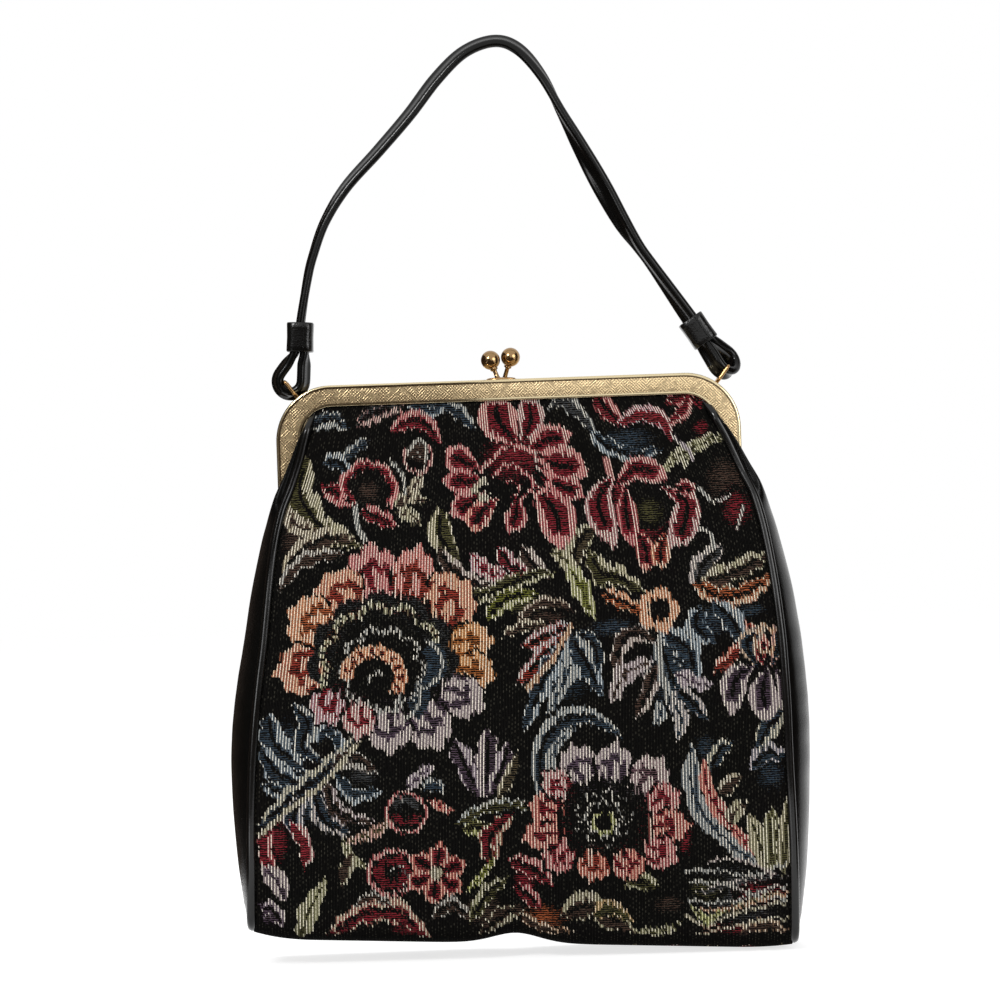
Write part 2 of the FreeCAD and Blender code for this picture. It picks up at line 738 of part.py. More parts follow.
def slopes(heights, numbers):
    # slopes for a smooth curve through the numbers that never swings past them
    rates = [(b - a) / (d - c) for a, b, c, d in zip(numbers, numbers[1:], heights, heights[1:])]
    inner = [2 * a * b / (a + b) if a * b > 0 else 0.0 for a, b in zip(rates, rates[1:])]
    return [rates[0]] + inner + [rates[-1]]


def section(rows, z):
    # the section at a height, on smooth curves through the rows
    heights = [row[0] for row in rows]
    index = max(i for i in range(len(rows) - 1) if heights[i] <= z or i == 0)
    step = heights[index + 1] - heights[index]
    share = (z - heights[index]) / step
    blend = share * share * (3 - 2 * share)
    leave = share * (1 - share) ** 2 * step
    arrive = -share * share * (1 - share) * step
    found = [z]
    for column in range(1, len(rows[0])):
        numbers = [row[column] for row in rows]
        rates = slopes(heights, numbers)
        low, high = numbers[index], numbers[index + 1]
        found.append(low + (high - low) * blend + rates[index] * leave + rates[index + 1] * arrive)
    return tuple(found)


SECTION_COUNT = 16
first_z, last_z = levels[0][0], levels[-1][0]
sections = [section(levels, first_z + (last_z - first_z) * i / SECTION_COUNT) for i in range(SECTION_COUNT + 1)]


def bow(a, b, middle):
    # an arc from a to b through the middle point, or a line where they are in line
    if abs((b - a).cross(middle - a).Length) < 1e-6:
        return Part.LineSegment(a, b).toShape()
    return Part.Arc(a, middle, b).toShape()


def panel_wire(z, width, edge, crown, wall):
    a, b = Vector(-width, -edge, z), Vector(width, -edge, z)
    c, d = Vector(width, wall - edge, z), Vector(-width, wall - edge, z)
    outer = bow(a, b, Vector(0, -edge - crown, z))
    inner = bow(c, d, Vector(0, wall - edge - crown, z))
    return Part.Wire([outer, segment(b, c), inner, segment(d, a)])


def gusset_wire(z, x, reach, bulge, wall):
    a, b = Vector(x, -reach, z), Vector(x, reach, z)
    c, d = Vector(x - wall, reach, z), Vector(x - wall, -reach, z)
    outer = bow(a, b, Vector(x + bulge, 0, z))
    inner = bow(c, d, Vector(x + bulge - wall, 0, z))
    return Part.Wire([outer, segment(b, c), inner, segment(d, a)])


def tub_wire(z, x, y, crown, bulge):
    a, b, c, d = Vector(-x, -y, z), Vector(x, -y, z), Vector(x, y, z), Vector(-x, y, z)
    return Part.Wire([
        bow(a, b, Vector(0, -y - crown, z)),
        bow(b, c, Vector(x + bulge, 0, z)),
        bow(c, d, Vector(0, y + crown, z)),
        bow(d, a, Vector(-x - bulge, 0, z)),
    ])


def back_of(shape):
    return shape.mirror(Vector(0, 0, 0), Vector(0, 1, 0))


def left_of(shape):
    return shape.mirror(Vector(0, 0, 0), Vector(1, 0, 0))


# Tapestry: the front, the base with its round heels, and the back are one strip.
heel_depth = size("heel_depth")
heel_rise = size("heel_rise")
heel_radius = size("heel_radius")
base_half = size("heel_half") - seam


def heel_profile(inset):
    y, r = heel_depth - inset, heel_radius - inset
    turn = r * math.sqrt(0.5)
    side = Vector(-base_half, 0, 0)
    points = [Vector(0, -y, heel_rise), Vector(0, -y, inset + r), Vector(0, r - y - turn, inset + r - turn),
              Vector(0, r - y, inset), Vector(0, y - r, inset), Vector(0, y - r + turn, inset + r - turn),
              Vector(0, y, inset + r), Vector(0, y, heel_rise)]
    return [point + side for point in points]


def heel_edges(points):
    return [segment(points[0], points[1]), Part.Arc(*points[1:4]).toShape(), segment(points[3], points[4]),
            Part.Arc(*points[4:7]).toShape(), segment(points[6], points[7])]


outer_heel = heel_profile(0.0)
inner_heel = heel_profile(cloth)
base_wire = Part.Wire(heel_edges(outer_heel) + [segment(outer_heel[7], inner_heel[7])]
                      + heel_edges(inner_heel)[::-1] + [segment(inner_heel[0], outer_heel[0])])
base = Part.Face(base_wire).extrude(Vector(2 * base_half, 0, 0))
front_wall = Part.makeLoft([panel_wire(z, x - seam, y, crown, cloth) for z, x, y, crown, bulge in sections],
                           True, True, False)
new_feature("tapestry_lower", front_wall.fuse([base, back_of(front_wall)]).removeSplitter())

board = doc.addObject("Part::Box", "base_board")
board.Label = "base_board"
board_half = "(Sizes.heel_half - Sizes.piping_radius - Sizes.seam_gap - Sizes.board_end_gap)"
board_depth = "(Sizes.heel_depth - Sizes.heel_radius)"
board.setExpression("Length", "2 * " + board_half)
board.setExpression("Width", "2 * " + board_depth)
board.setExpression("Height", "Sizes.board_thickness")
board.setExpression("Placement.Base.x", "-" + board_half)
board.setExpression("Placement.Base.y", "-" + board_depth)
board.setExpression("Placement.Base.z", "Sizes.cloth + Sizes.board_gap")
parts.append(board)

# Gussets: a bulging side from the base up to the hinge
vinyl = size("vinyl")


# the piping's way round the heel, as distances from the middle and heights
piping = size("piping_radius")
heel_route = (
    (heel_depth, heel_rise + size("heel_straight")),
    (heel_depth - size("heel_cut"), size("heel_cut_rise")),
    (heel_depth - heel_radius, piping + size("piping_lift")),
)
gusset_rows = []
for y, z in reversed(heel_route):
    share = (z - heel_route[2][1]) / (heel_rise - heel_route[2][1])
    bulge = size("tip_bulge") + (size("heel_bulge") - size("tip_bulge")) * share
    gusset_rows.append((z, size("heel_half"), y - size("heel_clear"), 0.0, bulge))
gusset_rows += [row for row in sections if row[0] > heel_route[0][1] + 1.0]
gusset = Part.makeLoft([gusset_wire(z, x, y - seam, bulge, vinyl) for z, x, y, crown, bulge in gusset_rows],
                       True, True, False)
new_feature("gusset_right", gusset)
new_feature("gusset_left", left_of(gusset))

# Lining of the lower bag: an open tub inside the cloth
lining = size("lining")
lining_gap = size("lining_gap")


def tub_levels(inset):
    floor = cloth + 2 * size("board_gap") + size("board_thickness") + inset
    rows = [(floor, value(board_half) - inset, heel_depth - heel_radius - inset, 0.0, 0.0)]
    stop = hinge - size("lining_stop")
    for z, x, y, crown, bulge in [row for row in sections if row[0] < stop - 1.0] + [section(levels, stop)]:
        side = x - seam - vinyl - inset
        edge = y - cloth - lining_gap - seam / 2 - inset
        front = y + crown - cloth - lining_gap - inset
        reach = x + bulge - vinyl - lining_gap - inset
        rows.append((z, side, edge, front - edge, reach - side))
    return rows


outer_tub = Part.makeLoft([tub_wire(*row) for row in tub_levels(0.0)], True, True, False)
inner_tub = Part.makeLoft([tub_wire(*row) for row in tub_levels(lining)], True, True, False)
new_feature("lining_lower", outer_tub.cut(inner_tub))

# Upper cloth: panels held in the channels, swelling out over the faces of the arms
over_face = depth + size("front_gap") + cloth
edge_level = levels[-1]
in_channel = depth - sheet_metal - size("face_gap")
inner_half = value(INNER_HALF)
upper = [
    (hinge - size("edge_drop") - size("lap_length"), half + size("lap_out"),
     edge_level[2] - cloth - size("lap_gap"), size("edge_crown")),
    (hinge + size("swell_rise"), half - size("swell_in"), over_face + size("swell_depth"), size("swell_crown")),
    (hinge + size("breast_rise"), half - size("breast_in"), over_face, size("breast_crown")),
    (value(INNER_TOP) - size("throat_drop"), inner_half - size("throat_in"), over_face, size("throat_crown")),
    (value(INNER_TOP) - size("mouth_drop"), inner_half - size("mouth_in") + seam, in_channel, 0.0),
    (top - sheet_metal - size("cord_gap"), half - corner + seam, in_channel, 0.0),
]
upper_panel = Part.makeLoft([panel_wire(z, x - seam, y, crown, cloth) for z, x, y, crown in upper],
                            True, True, False)
new_feature("panel_front_upper", upper_panel)
new_feature("panel_rear_upper", back_of(upper_panel))

behind_cord = in_channel - cloth - 2 * size("cord_gap") - 2 * size("paper_cord_radius")
clear_arms = inner_half - size("front_gap") - seam / 2
upper_lining = []
for z, x, y, crown in upper[:4]:
    wide = min(x - seam - lining_gap, clear_arms)
    upper_lining.append((z, wide, y - cloth - lining_gap, max(crown - lining_gap, 0.0)))
upper_lining.append((upper[4][0], upper[4][1] - seam - lining_gap, behind_cord, 0.0))
upper_lining.append((upper[5][0], upper[5][1] - seam - lining_gap, behind_cord, 0.0))
lining_panel = Part.makeLoft([panel_wire(z, x, y, crown, lining) for z, x, y, crown in upper_lining],
                             True, True, False)
new_feature("lining_front_upper", lining_panel)
new_feature("lining_rear_upper", back_of(lining_panel))

# Gusset lobes: the vinyl beside each arm, in front of its face and round its edge


def upper_at(z):
    for low, high in zip(upper, upper[1:]):
        if low[0] <= z <= high[0]:
            share = (z - low[0]) / (high[0] - low[0])
            return tuple(a + (b - a) * share for a, b in zip(low, high))
    raise ValueError("no upper section at this height")


lobe_rows = (
    (hinge - size("lobe_low_drop"), size("lobe_low_out")),
    (hinge + size("swell_rise"), size("lobe_mid_out")),
    (hinge + size("breast_rise"), size("lobe_high_out")),
    (hinge + size("lobe_tip_rise"), size("lobe_tip_out")),
)
lobe_wires = []
for z, out in lobe_rows:
    row = upper_at(z)
    near = row[1] + seam + size("lobe_gap")
    y = row[2]
    far = near + out
    turned = min(out * 0.3, y - depth - size("front_gap") - 0.3 * vinyl)
    lobe_wires.append(Part.makePolygon([
        Vector(near, -y, z), Vector(far, turned - y, z), Vector(far, -depth - size("front_gap"), z),
        Vector(near, -depth - size("front_gap"), z), Vector(near, -y, z)]))
lobe = Part.makeLoft(lobe_wires, True, True, False)
new_feature("lobe_front_right", lobe)
new_feature("lobe_front_left", left_of(lobe))
new_feature("lobe_rear_right", back_of(lobe))
new_feature("lobe_rear_left", left_of(back_of(lobe)))

# Piping: a cord in each seam, from the frame's inner corner down and round the heel
ahead = depth + size("front_gap") + piping
start_z = value(INNER_TOP) - size("mouth_drop") - 1.0
seam_points = [Vector(inner_half - size("mouth_in") + 1.5 * seam, -ahead, start_z)]
for z, x, y, crown in reversed(upper[1:4]):
    seam_points.append(Vector(x, -max(y - cloth / 2, ahead), z))
for z, x, y, crown, bulge in reversed(sections[2::2]):
    seam_points.append(Vector(x, -y, z))
for y, z in heel_route:
    seam_points.append(Vector(size("heel_half"), -y, z))
seam_tube = tube(rounded_route(seam_points), piping)
pair = Part.makeCompound([seam_tube, left_of(seam_tube)])
new_feature("piping_front", pair)
new_feature("piping_rear", back_of(pair))

doc.recompute()

# Every object must be sound before anything is written.
for item in doc.Objects:
    if "Invalid" in item.State or "Error" in item.State:
        raise ValueError("%s failed: %s" % (item.Label, item.State))
for piece in parts:
    if piece.Shape.isNull() or not piece.Shape.isValid() or piece.Shape.Volume <= 0:
        raise ValueError("%s has no sound solid" % piece.Label)
os.makedirs("parts", exist_ok=True)
for piece in parts:
    piece.Shape.exportStep(os.path.join("parts", piece.Label + ".step"))
    print("%-22s solids %d volume %.0f" % (piece.Label, len(piece.Shape.Solids), piece.Shape.Volume))
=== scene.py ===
# Kiss lock frame purse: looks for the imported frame. Sizes are millimetres until a mesh is made.
import math

import bpy
import numpy as np
from mathutils import Matrix, Vector


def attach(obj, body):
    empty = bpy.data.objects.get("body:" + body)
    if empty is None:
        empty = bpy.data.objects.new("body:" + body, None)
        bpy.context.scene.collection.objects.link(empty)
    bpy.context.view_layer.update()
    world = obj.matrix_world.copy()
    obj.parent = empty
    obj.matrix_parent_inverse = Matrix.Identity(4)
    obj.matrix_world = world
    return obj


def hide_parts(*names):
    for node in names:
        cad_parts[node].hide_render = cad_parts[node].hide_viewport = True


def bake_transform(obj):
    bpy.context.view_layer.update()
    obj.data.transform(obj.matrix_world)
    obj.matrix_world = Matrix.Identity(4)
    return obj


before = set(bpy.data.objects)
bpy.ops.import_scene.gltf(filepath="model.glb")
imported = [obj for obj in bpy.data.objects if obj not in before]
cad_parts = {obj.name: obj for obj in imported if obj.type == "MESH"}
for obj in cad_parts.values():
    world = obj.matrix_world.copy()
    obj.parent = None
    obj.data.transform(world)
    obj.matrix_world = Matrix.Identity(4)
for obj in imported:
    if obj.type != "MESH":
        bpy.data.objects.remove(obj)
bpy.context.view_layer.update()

MM = 0.001
ENDS = ((-1, "front"), (1, "rear"))
SIDES = ((-1, "left"), (1, "right"))
DEPTHWAYS = np.array((0.0, 1.0, 0.0))

# Sizes that the solids have too
BAG_HEIGHT = 246.0
HINGE = 192.0
FRAME_HALF = 101.6
HALF_DEPTH = 9.5
BAND = 9.0
ARM_FACE = 10.5
CORNER_OUTER = 24.0
CORNER_INNER = 14.0
STRAP_Y = 4.825
STRAP_WIDTH = 9.5
STRAP_THICK = 4.0
LOOP_BORE = 3.8
SLEEVE_LENGTH = 13.0
PIPING_RADIUS = 2.0
HEEL_RADIUS = 9.0
HEEL_DEPTH = 26.0
CLOTH = 1.4
VINYL = 1.2

# Seam of the bag by height: half width, half depth, crown of the panel and bulge of the gusset
SEAM = (
    (10.0, 117.6, 26.0, 0.0, 4.5),
    (45.0, 117.3, 27.0, 5.5, 8.6),
    (95.0, 115.4, 26.5, 8.0, 11.5),
    (145.0, 111.0, 23.5, 7.0, 9.6),
    (175.0, 107.0, 19.5, 5.0, 7.2),
    (191.0, 103.3, 16.8, 3.6, 6.0),
    (202.0, 98.8, 13.8, 3.0, 5.5),
    (213.0, 94.6, 12.6, 2.2, 4.0),
    (222.0, 91.2, 12.2, 1.2, 2.6),
    (229.0, 88.2, 11.8, 0.5, 1.6),
    (236.0, 84.6, 10.4, 0.2, 0.8),
    (243.0, 82.0, 9.0, 0.0, 0.4),
)
SEAM_FOOT = SEAM[0][0]
SEAM_FOOT_HALF = SEAM[0][1]
SEAM_HEAD = SEAM[-1][0]
# Outer edge of the gusset beside the arm, by height
LOBE_EDGE = (
    (186.0, 111.0), (191.0, 108.9), (199.0, 105.6), (206.0, 102.0),
    (214.0, 98.2), (222.0, 94.2), (227.0, 91.0),
)
LOBE_TIP = LOBE_EDGE[-1][0]

# How the hung bag leans sideways, by height, and how its base swings level
LEAN = ((0.0, -1.5), (31.0, -0.7), (73.0, 0.0), (115.0, 1.9), (136.0, 2.9), (157.0, 3.1), (190.0, 3.0),
        (214.0, 2.4), (226.0, 1.2), (236.0, 0.2), (243.0, 0.0))
BASE_SWING = 0.052
SWING_TOP = 195.0
# The dent in the base's edge, the crease above it and the base's lifted corners
DENT_X, DENT_DEEP, DENT_WIDE, DENT_HIGH = -3.0, 4.2, 15.0, 12.0
CREASE_DEEP, CREASE_WIDE, CREASE_HIGH, CREASE_LEAN = 3.2, 9.0, 120.0, 0.05
CORNER_LIFT_LEFT, CORNER_LIFT_RIGHT = 4.4, 2.4
CORNER_FROM, CORNER_RUN, CORNER_HIGH = 90.0, 31.0, 34.0
# Broad and fine waves of the cloth: depth, and lengths across and up
BROAD_WAVE, BROAD_ACROSS, BROAD_UP = 0.8, 21.0, 29.0
FINE_WAVE, FINE_ACROSS, FINE_UP = 0.45, 9.5, 15.0
WAVES_FOOT, WAVES_HEAD, WAVES_FADE = 30.0, 205.0, 40.0
FULL_DEPTH = 22.0


def smoothstep(share):
    share = np.clip(share, 0.0, 1.0)
    return share * share * (3 - 2 * share)


def smooth_column(rows, index, at):
    # one column of a table at the given heights, on a smooth curve that never swings past its rows
    heights = np.array([row[0] for row in rows])
    numbers = np.array([row[index] for row in rows])
    steps = np.diff(heights)
    rates = np.diff(numbers) / steps
    product = rates[:-1] * rates[1:]
    total = np.where(product > 0, rates[:-1] + rates[1:], 1.0)
    slopes = np.concatenate((rates[:1], np.where(product > 0, 2 * product / total, 0.0), rates[-1:]))
    at = np.clip(np.asarray(at, float), heights[0], heights[-1])
    low = np.clip(np.searchsorted(heights, at, side="right") - 1, 0, len(steps) - 1)
    step = steps[low]
    share = (at - heights[low]) / step
    rise = smoothstep(share)
    leave = share * (1 - share) ** 2 * step
    arrive = -share * share * (1 - share) * step
    between = numbers[low] + (numbers[low + 1] - numbers[low]) * rise
    return between + slopes[low] * leave + slopes[low + 1] * arrive


def settle(points):
    # the way the soft bag hangs: it leans, its base swings level, and a crease runs up from the base
    x, y, z = (points[..., i].copy() for i in range(3))
    low = np.clip((SWING_TOP - z) / SWING_TOP, 0.0, 1.0)
    lean = smooth_column(LEAN, 1, z)
    crease_x = DENT_X - CREASE_LEAN * z
    crease = CREASE_DEEP * np.exp(-((x - crease_x) / CREASE_WIDE) ** 2) * (1 - smoothstep(z / CREASE_HIGH))
    wave = BROAD_WAVE * np.sin(x / BROAD_ACROSS + 1.3) * np.sin(z / BROAD_UP + 0.7)
    wave = wave + FINE_WAVE * np.sin(x / FINE_ACROSS + z / FINE_UP)
    wave = wave * smoothstep(z / WAVES_FOOT) * smoothstep((WAVES_HEAD - z) / WAVES_FADE)
    outward = np.sign(y) * smoothstep(np.abs(y) / FULL_DEPTH)
    dent = DENT_DEEP * np.exp(-((x - DENT_X) / DENT_WIDE) ** 2) * np.exp(-(z / DENT_HIGH) ** 2)
    corner = np.clip((np.abs(x) - CORNER_FROM) / CORNER_RUN, 0.0, 1.1) ** 2.4
    corner = corner * (1 - smoothstep(z / CORNER_HIGH))
    lift = dent + np.where(x < 0, CORNER_LIFT_LEFT, CORNER_LIFT_RIGHT) * corner
    return np.stack((x + lean, y + outward * (wave - crease), z - BASE_SWING * x * low + lift), axis=-1)


# Mesh helpers


def grid_faces(rows, cols, start=0, wrap=False, flip=False):
    across = cols if wrap else cols - 1
    i, j = np.meshgrid(np.arange(rows - 1), np.arange(across), indexing="ij")
    k = (j + 1) % cols
    quads = np.stack((i * cols + j, i * cols + k, (i + 1) * cols + k, (i + 1) * cols + j), axis=-1)
    quads = quads.reshape(-1, 4) + start
    return (quads[:, ::-1] if flip else quads).tolist()


def tube_faces(rows, cols, flip=False):
    # faces of a row of rings, closed at both ends
    first = list(range(cols))
    last = list(range((rows - 1) * cols, rows * cols))
    caps = [first, last[::-1]] if flip else [first[::-1], last]
    return grid_faces(rows, cols, wrap=True, flip=flip) + caps


def make_object(name, points, faces, *materials):
    mesh = bpy.data.meshes.new(name)
    mesh.from_pydata((np.asarray(points).reshape(-1, 3) * MM).tolist(), [], faces)
    mesh.validate()
    for polygon in mesh.polygons:
        polygon.use_smooth = True
    for material in materials:
        mesh.materials.append(material)
    piece = bpy.data.objects.new(name, mesh)
    bpy.context.scene.collection.objects.link(piece)
    return piece


def slab(name, outer, inner, *materials, step=1):
    # a closed sheet between two grids of points: all of the outer one and each few points of the inner one
    rows, cols = outer.shape[:2]
    row_picks = sorted(set(range(0, rows - 1, step)) | {rows - 1})
    col_picks = sorted(set(range(0, cols - 1, step)) | {cols - 1})
    back = inner[np.ix_(row_picks, col_picks)]
    start = rows * cols
    wide = len(col_picks)
    faces = grid_faces(rows, cols)
    fronts = len(faces)
    faces += grid_faces(len(row_picks), wide, start, flip=True)
    for row, pick, turn in ((0, 0, -1), (rows - 1, len(row_picks) - 1, 1)):
        behind = start + pick * wide
        for index, (a, b) in enumerate(zip(col_picks, col_picks[1:])):
            rim = [row * cols + j for j in range(a, b + 1)] + [behind + index + 1, behind + index]
            faces.append(rim[::turn])
    for col, pick, turn in ((0, 0, 1), (cols - 1, wide - 1, -1)):
        for index, (a, b) in enumerate(zip(row_picks, row_picks[1:])):
            behind = start + pick + index * wide
            rim = [i * cols + col for i in range(a, b + 1)] + [behind + wide, behind]
            faces.append(rim[::turn])
    piece = make_object(name, np.concatenate((outer.reshape(-1, 3), back.reshape(-1, 3))), faces, *materials)
    if len(materials) > 1:
        for polygon in piece.data.polygons[fronts:]:
            polygon.material_index = 1
    return piece


def sweep(name, path, across, up, section, material):
    # a closed section carried along a path
    section = np.asarray(section)
    points = path[:, None] + across[:, None] * section[None, :, :1] + up[:, None] * section[None, :, 1:]
    return make_object(name, points, tube_faces(*points.shape[:2]), material)


def curve_through(points, per_run):
    # a smooth curve through the points
    points = np.asarray(points, float)
    padded = np.concatenate((2 * points[:1] - points[1:2], points, 2 * points[-1:] - points[-2:-1]))
    t = np.linspace(0, 1, per_run, endpoint=False)[:, None]
    runs = []
    for a, b, c, d in zip(padded, padded[1:], padded[2:], padded[3:]):
        square = (2 * a - 5 * b + 4 * c - d) * t ** 2
        cube = (3 * b - a - 3 * c + d) * t ** 3
        runs.append(0.5 * (2 * b + (c - a) * t + square + cube))
    return np.concatenate(runs + [points[-1:]])


def directions(path):
    runs = np.gradient(path, axis=0)
    return runs / np.linalg.norm(runs, axis=1, keepdims=True)


def carried_frames(path, first):
    # two directions square to a path, carried along it without twist
    runs = directions(path)
    across = np.zeros_like(path)
    side = np.asarray(first, float)
    for index, run in enumerate(runs):
        side = side - run * (side @ run)
        side = side / np.linalg.norm(side)
        across[index] = side
    return across, np.cross(runs, across)


def full_turn(count):
    return np.arange(count) * 2 * math.pi / count


def make_cord(name, path, radius, count, material):
    # a round cord along a path
    angles = full_turn(count)
    section = np.stack((radius * np.cos(angles), radius * np.sin(angles)), axis=1)
    return sweep(name, path, *carried_frames(path, (1, 0, 0)), section, material)


def join_pieces(name, pieces):
    with bpy.context.temp_override(active_object=pieces[0], selected_editable_objects=pieces):
        bpy.ops.object.join()
    pieces[0].name = name
    return pieces[0]


def carry(piece, body, slot, *nodes):
    # a stiff piece that rides one body
    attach(piece, body)
    if nodes:
        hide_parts(*nodes)


# Node helpers


class Signal:
    # a node's output, which can be added, taken away and multiplied

    def __init__(self, tree, socket):
        self.tree = tree
        self.socket = socket

    def __add__(self, other):
        return self.tree.math("ADD", self, other)

    def __sub__(self, other):
        return self.tree.math("SUBTRACT", self, other)

    def __rsub__(self, other):
        return self.tree.math("SUBTRACT", other, self)

    def __mul__(self, other):
        return self.tree.math("MULTIPLY", self, other)


class Tree:
    # the nodes of a material or a world

    def __init__(self, owner):
        owner.use_nodes = True
        self.owner = owner
        self.nodes = owner.node_tree.nodes
        self.links = owner.node_tree.links

    def put(self, target, source):
        if isinstance(source, Signal):
            self.links.new(source.socket, target)
        else:
            target.default_value = source

    def node(self, kind, inputs=(), output=0, **settings):
        made = self.nodes.new(kind)
        for key, number in settings.items():
            setattr(made, key, number)
        for key, source in dict(inputs).items():
            self.put(made.inputs[key], source)
        return Signal(self, made.outputs[output])

    def math(self, operation, *values):
        return self.node("ShaderNodeMath", enumerate(values), operation=operation)

    def step(self, source, low, high):
        return self.node("ShaderNodeMapRange", {"Value": source, "From Min": low, "From Max": high},
                         interpolation_type="SMOOTHSTEP")

    def span(self, source, low, high):
        return self.node("ShaderNodeMapRange", {"Value": source, "To Min": low, "To Max": high})

    def seen(self):
        # 1 for camera, glossy and transmission rays
        rays = self.nodes.new("ShaderNodeLightPath").outputs
        camera, glossy, through = (Signal(self, rays["Is %s Ray" % kind])
                                   for kind in ("Camera", "Glossy", "Transmission"))
        return self.math("MAXIMUM", self.math("MAXIMUM", camera, glossy), through)


class Shade(Tree):
    # a material's nodes around its principled shader

    def __init__(self, name, **sockets):
        super().__init__(bpy.data.materials.new(name))
        for socket, number in sockets.items():
            self.out(socket.replace("_", " "), number)

    def out(self, socket, source):
        self.put(self.nodes["Principled BSDF"].inputs[socket], source)

    def mix(self, share, a, b):
        return self.node("ShaderNodeMix", {0: share, 6: a, 7: b}, 2, data_type="RGBA")

    def parts(self, vector):
        first = self.node("ShaderNodeSeparateXYZ", {"Vector": vector})
        return [Signal(self, socket) for socket in first.socket.node.outputs]

    def attribute(self, name):
        colour = self.node("ShaderNodeAttribute", (), "Color", attribute_name=name)
        return colour, Signal(self, colour.socket.node.outputs["Alpha"])

    def place(self, scale=(1, 1, 1), turn=(0, 0, 0)):
        coords = self.node("ShaderNodeTexCoord", (), "Object")
        return self.node("ShaderNodeMapping", {"Vector": coords, "Scale": scale, "Rotation": turn})

    def noise(self, where, scale, detail=2.0, rough=0.5):
        sockets = {"Vector": where, "Scale": scale, "Detail": detail, "Roughness": rough}
        return self.node("ShaderNodeTexNoise", sockets, "Fac")

    def bump(self, height, strength, distance):
        sockets = {"Height": height, "Strength": strength, "Distance": distance}
        self.out("Normal", self.node("ShaderNodeBump", sockets))


def linear(red, green, blue):
    # a colour written as it looks, made linear
    found = []
    for part in (red, green, blue):
        part /= 255.0
        found.append(part / 12.92 if part <= 0.04045 else ((part + 0.055) / 1.055) ** 2.4)
    return tuple(found)


def rgba(red, green, blue, factor=1.0):
    return (*(part * factor for part in linear(red, green, blue)), 1.0)


# Materials


def vinyl_material(name, gloss, grain, wrinkle, shine):
    shade = Shade(name, Specular_IOR_Level=shine)
    where = shade.place()
    pores = shade.node("ShaderNodeTexVoronoi", {"Vector": where, "Scale": 1500.0}, "Distance")
    fine = shade.noise(where, 900.0, 3.0, 0.6)
    broad = shade.noise(where, 60.0, 3.0, 0.55)
    creases = shade.noise(shade.place(scale=(30, 30, 260)), 1.0, 4.0, 0.6)
    shade.out("Base Color", shade.mix(broad, rgba(5, 5, 5), rgba(10, 10, 9)))
    shade.out("Roughness", shade.span(broad, gloss - 0.06, gloss + 0.08) + shade.span(fine, -0.04, 0.04))
    shade.bump(pores * grain + fine * grain + creases * wrinkle, 0.35, 0.0004)
    return shade.owner


def hatch_lines(shade, where, degrees, pitch):
    # parallel scratches across the metal, broken into patches
    turned_place = shade.place(turn=(0, math.radians(degrees), 0))
    along = shade.parts(turned_place)[0]
    wave = shade.math("SINE", along * (2 * math.pi / pitch) + shade.noise(where, 260.0) * 3.0)
    patch = shade.step(shade.noise(turned_place, 380.0), 0.36, 0.56)
    return shade.step(wave, -0.6, 0.7) * patch


def etched_material(name, colour, rough):
    shade = Shade(name, Metallic=1.0)
    where = shade.place()
    first = hatch_lines(shade, where, 44, 0.00098)
    second = hatch_lines(shade, where, -47, 0.00104)
    height = shade.math("MAXIMUM", first, second)
    grains = shade.noise(where, 1500.0, 3.0, 0.6)
    tone = shade.span(height, 0.3, 1.0) + shade.span(grains, -0.3, 0.3)
    shade.out("Base Color", shade.mix(tone, rgba(*colour, 0.38), rgba(*colour)))
    shade.out("Roughness", shade.span(height, rough + 0.1, rough - 0.05))
    shade.bump(height + grains * 0.5, 0.3, 0.0002)
    return shade.owner


def polished_material(name, colour, rough):
    shade = Shade(name, Metallic=1.0)
    broad = shade.noise(shade.place(), 40.0, 3.0)
    scratches = shade.noise(shade.place(scale=(500, 90, 500)), 3.0, 4.0, 0.65)
    shade.out("Base Color", shade.mix(broad, rgba(*colour, 0.78), rgba(*colour)))
    shade.out("Roughness", shade.span(scratches, rough - 0.04, rough + 0.07))
    shade.bump(scratches, 0.06, 0.0001)
    return shade.owner


def cloth_material(name, pale, deep, scale):
    # plain weave for the lining, and with other colours for board and paper
    shade = Shade(name, Sheen_Weight=0.15, Specular_IOR_Level=0.25)
    where = shade.place()
    parts = shade.parts(where)
    weave = shade.math("SINE", parts[0] * scale) * shade.math("SINE", parts[2] * scale)
    mottle = shade.noise(where, 300.0, 4.0, 0.65)
    height = shade.span(weave, 0.3, 0.7) + shade.span(mottle, -0.3, 0.3)
    shade.out("Base Color", shade.mix(height, rgba(*deep), rgba(*pale)))
    shade.out("Roughness", shade.span(mottle, 0.72, 0.92))
    shade.bump(height, 0.3, 0.0002)
    return shade.owner


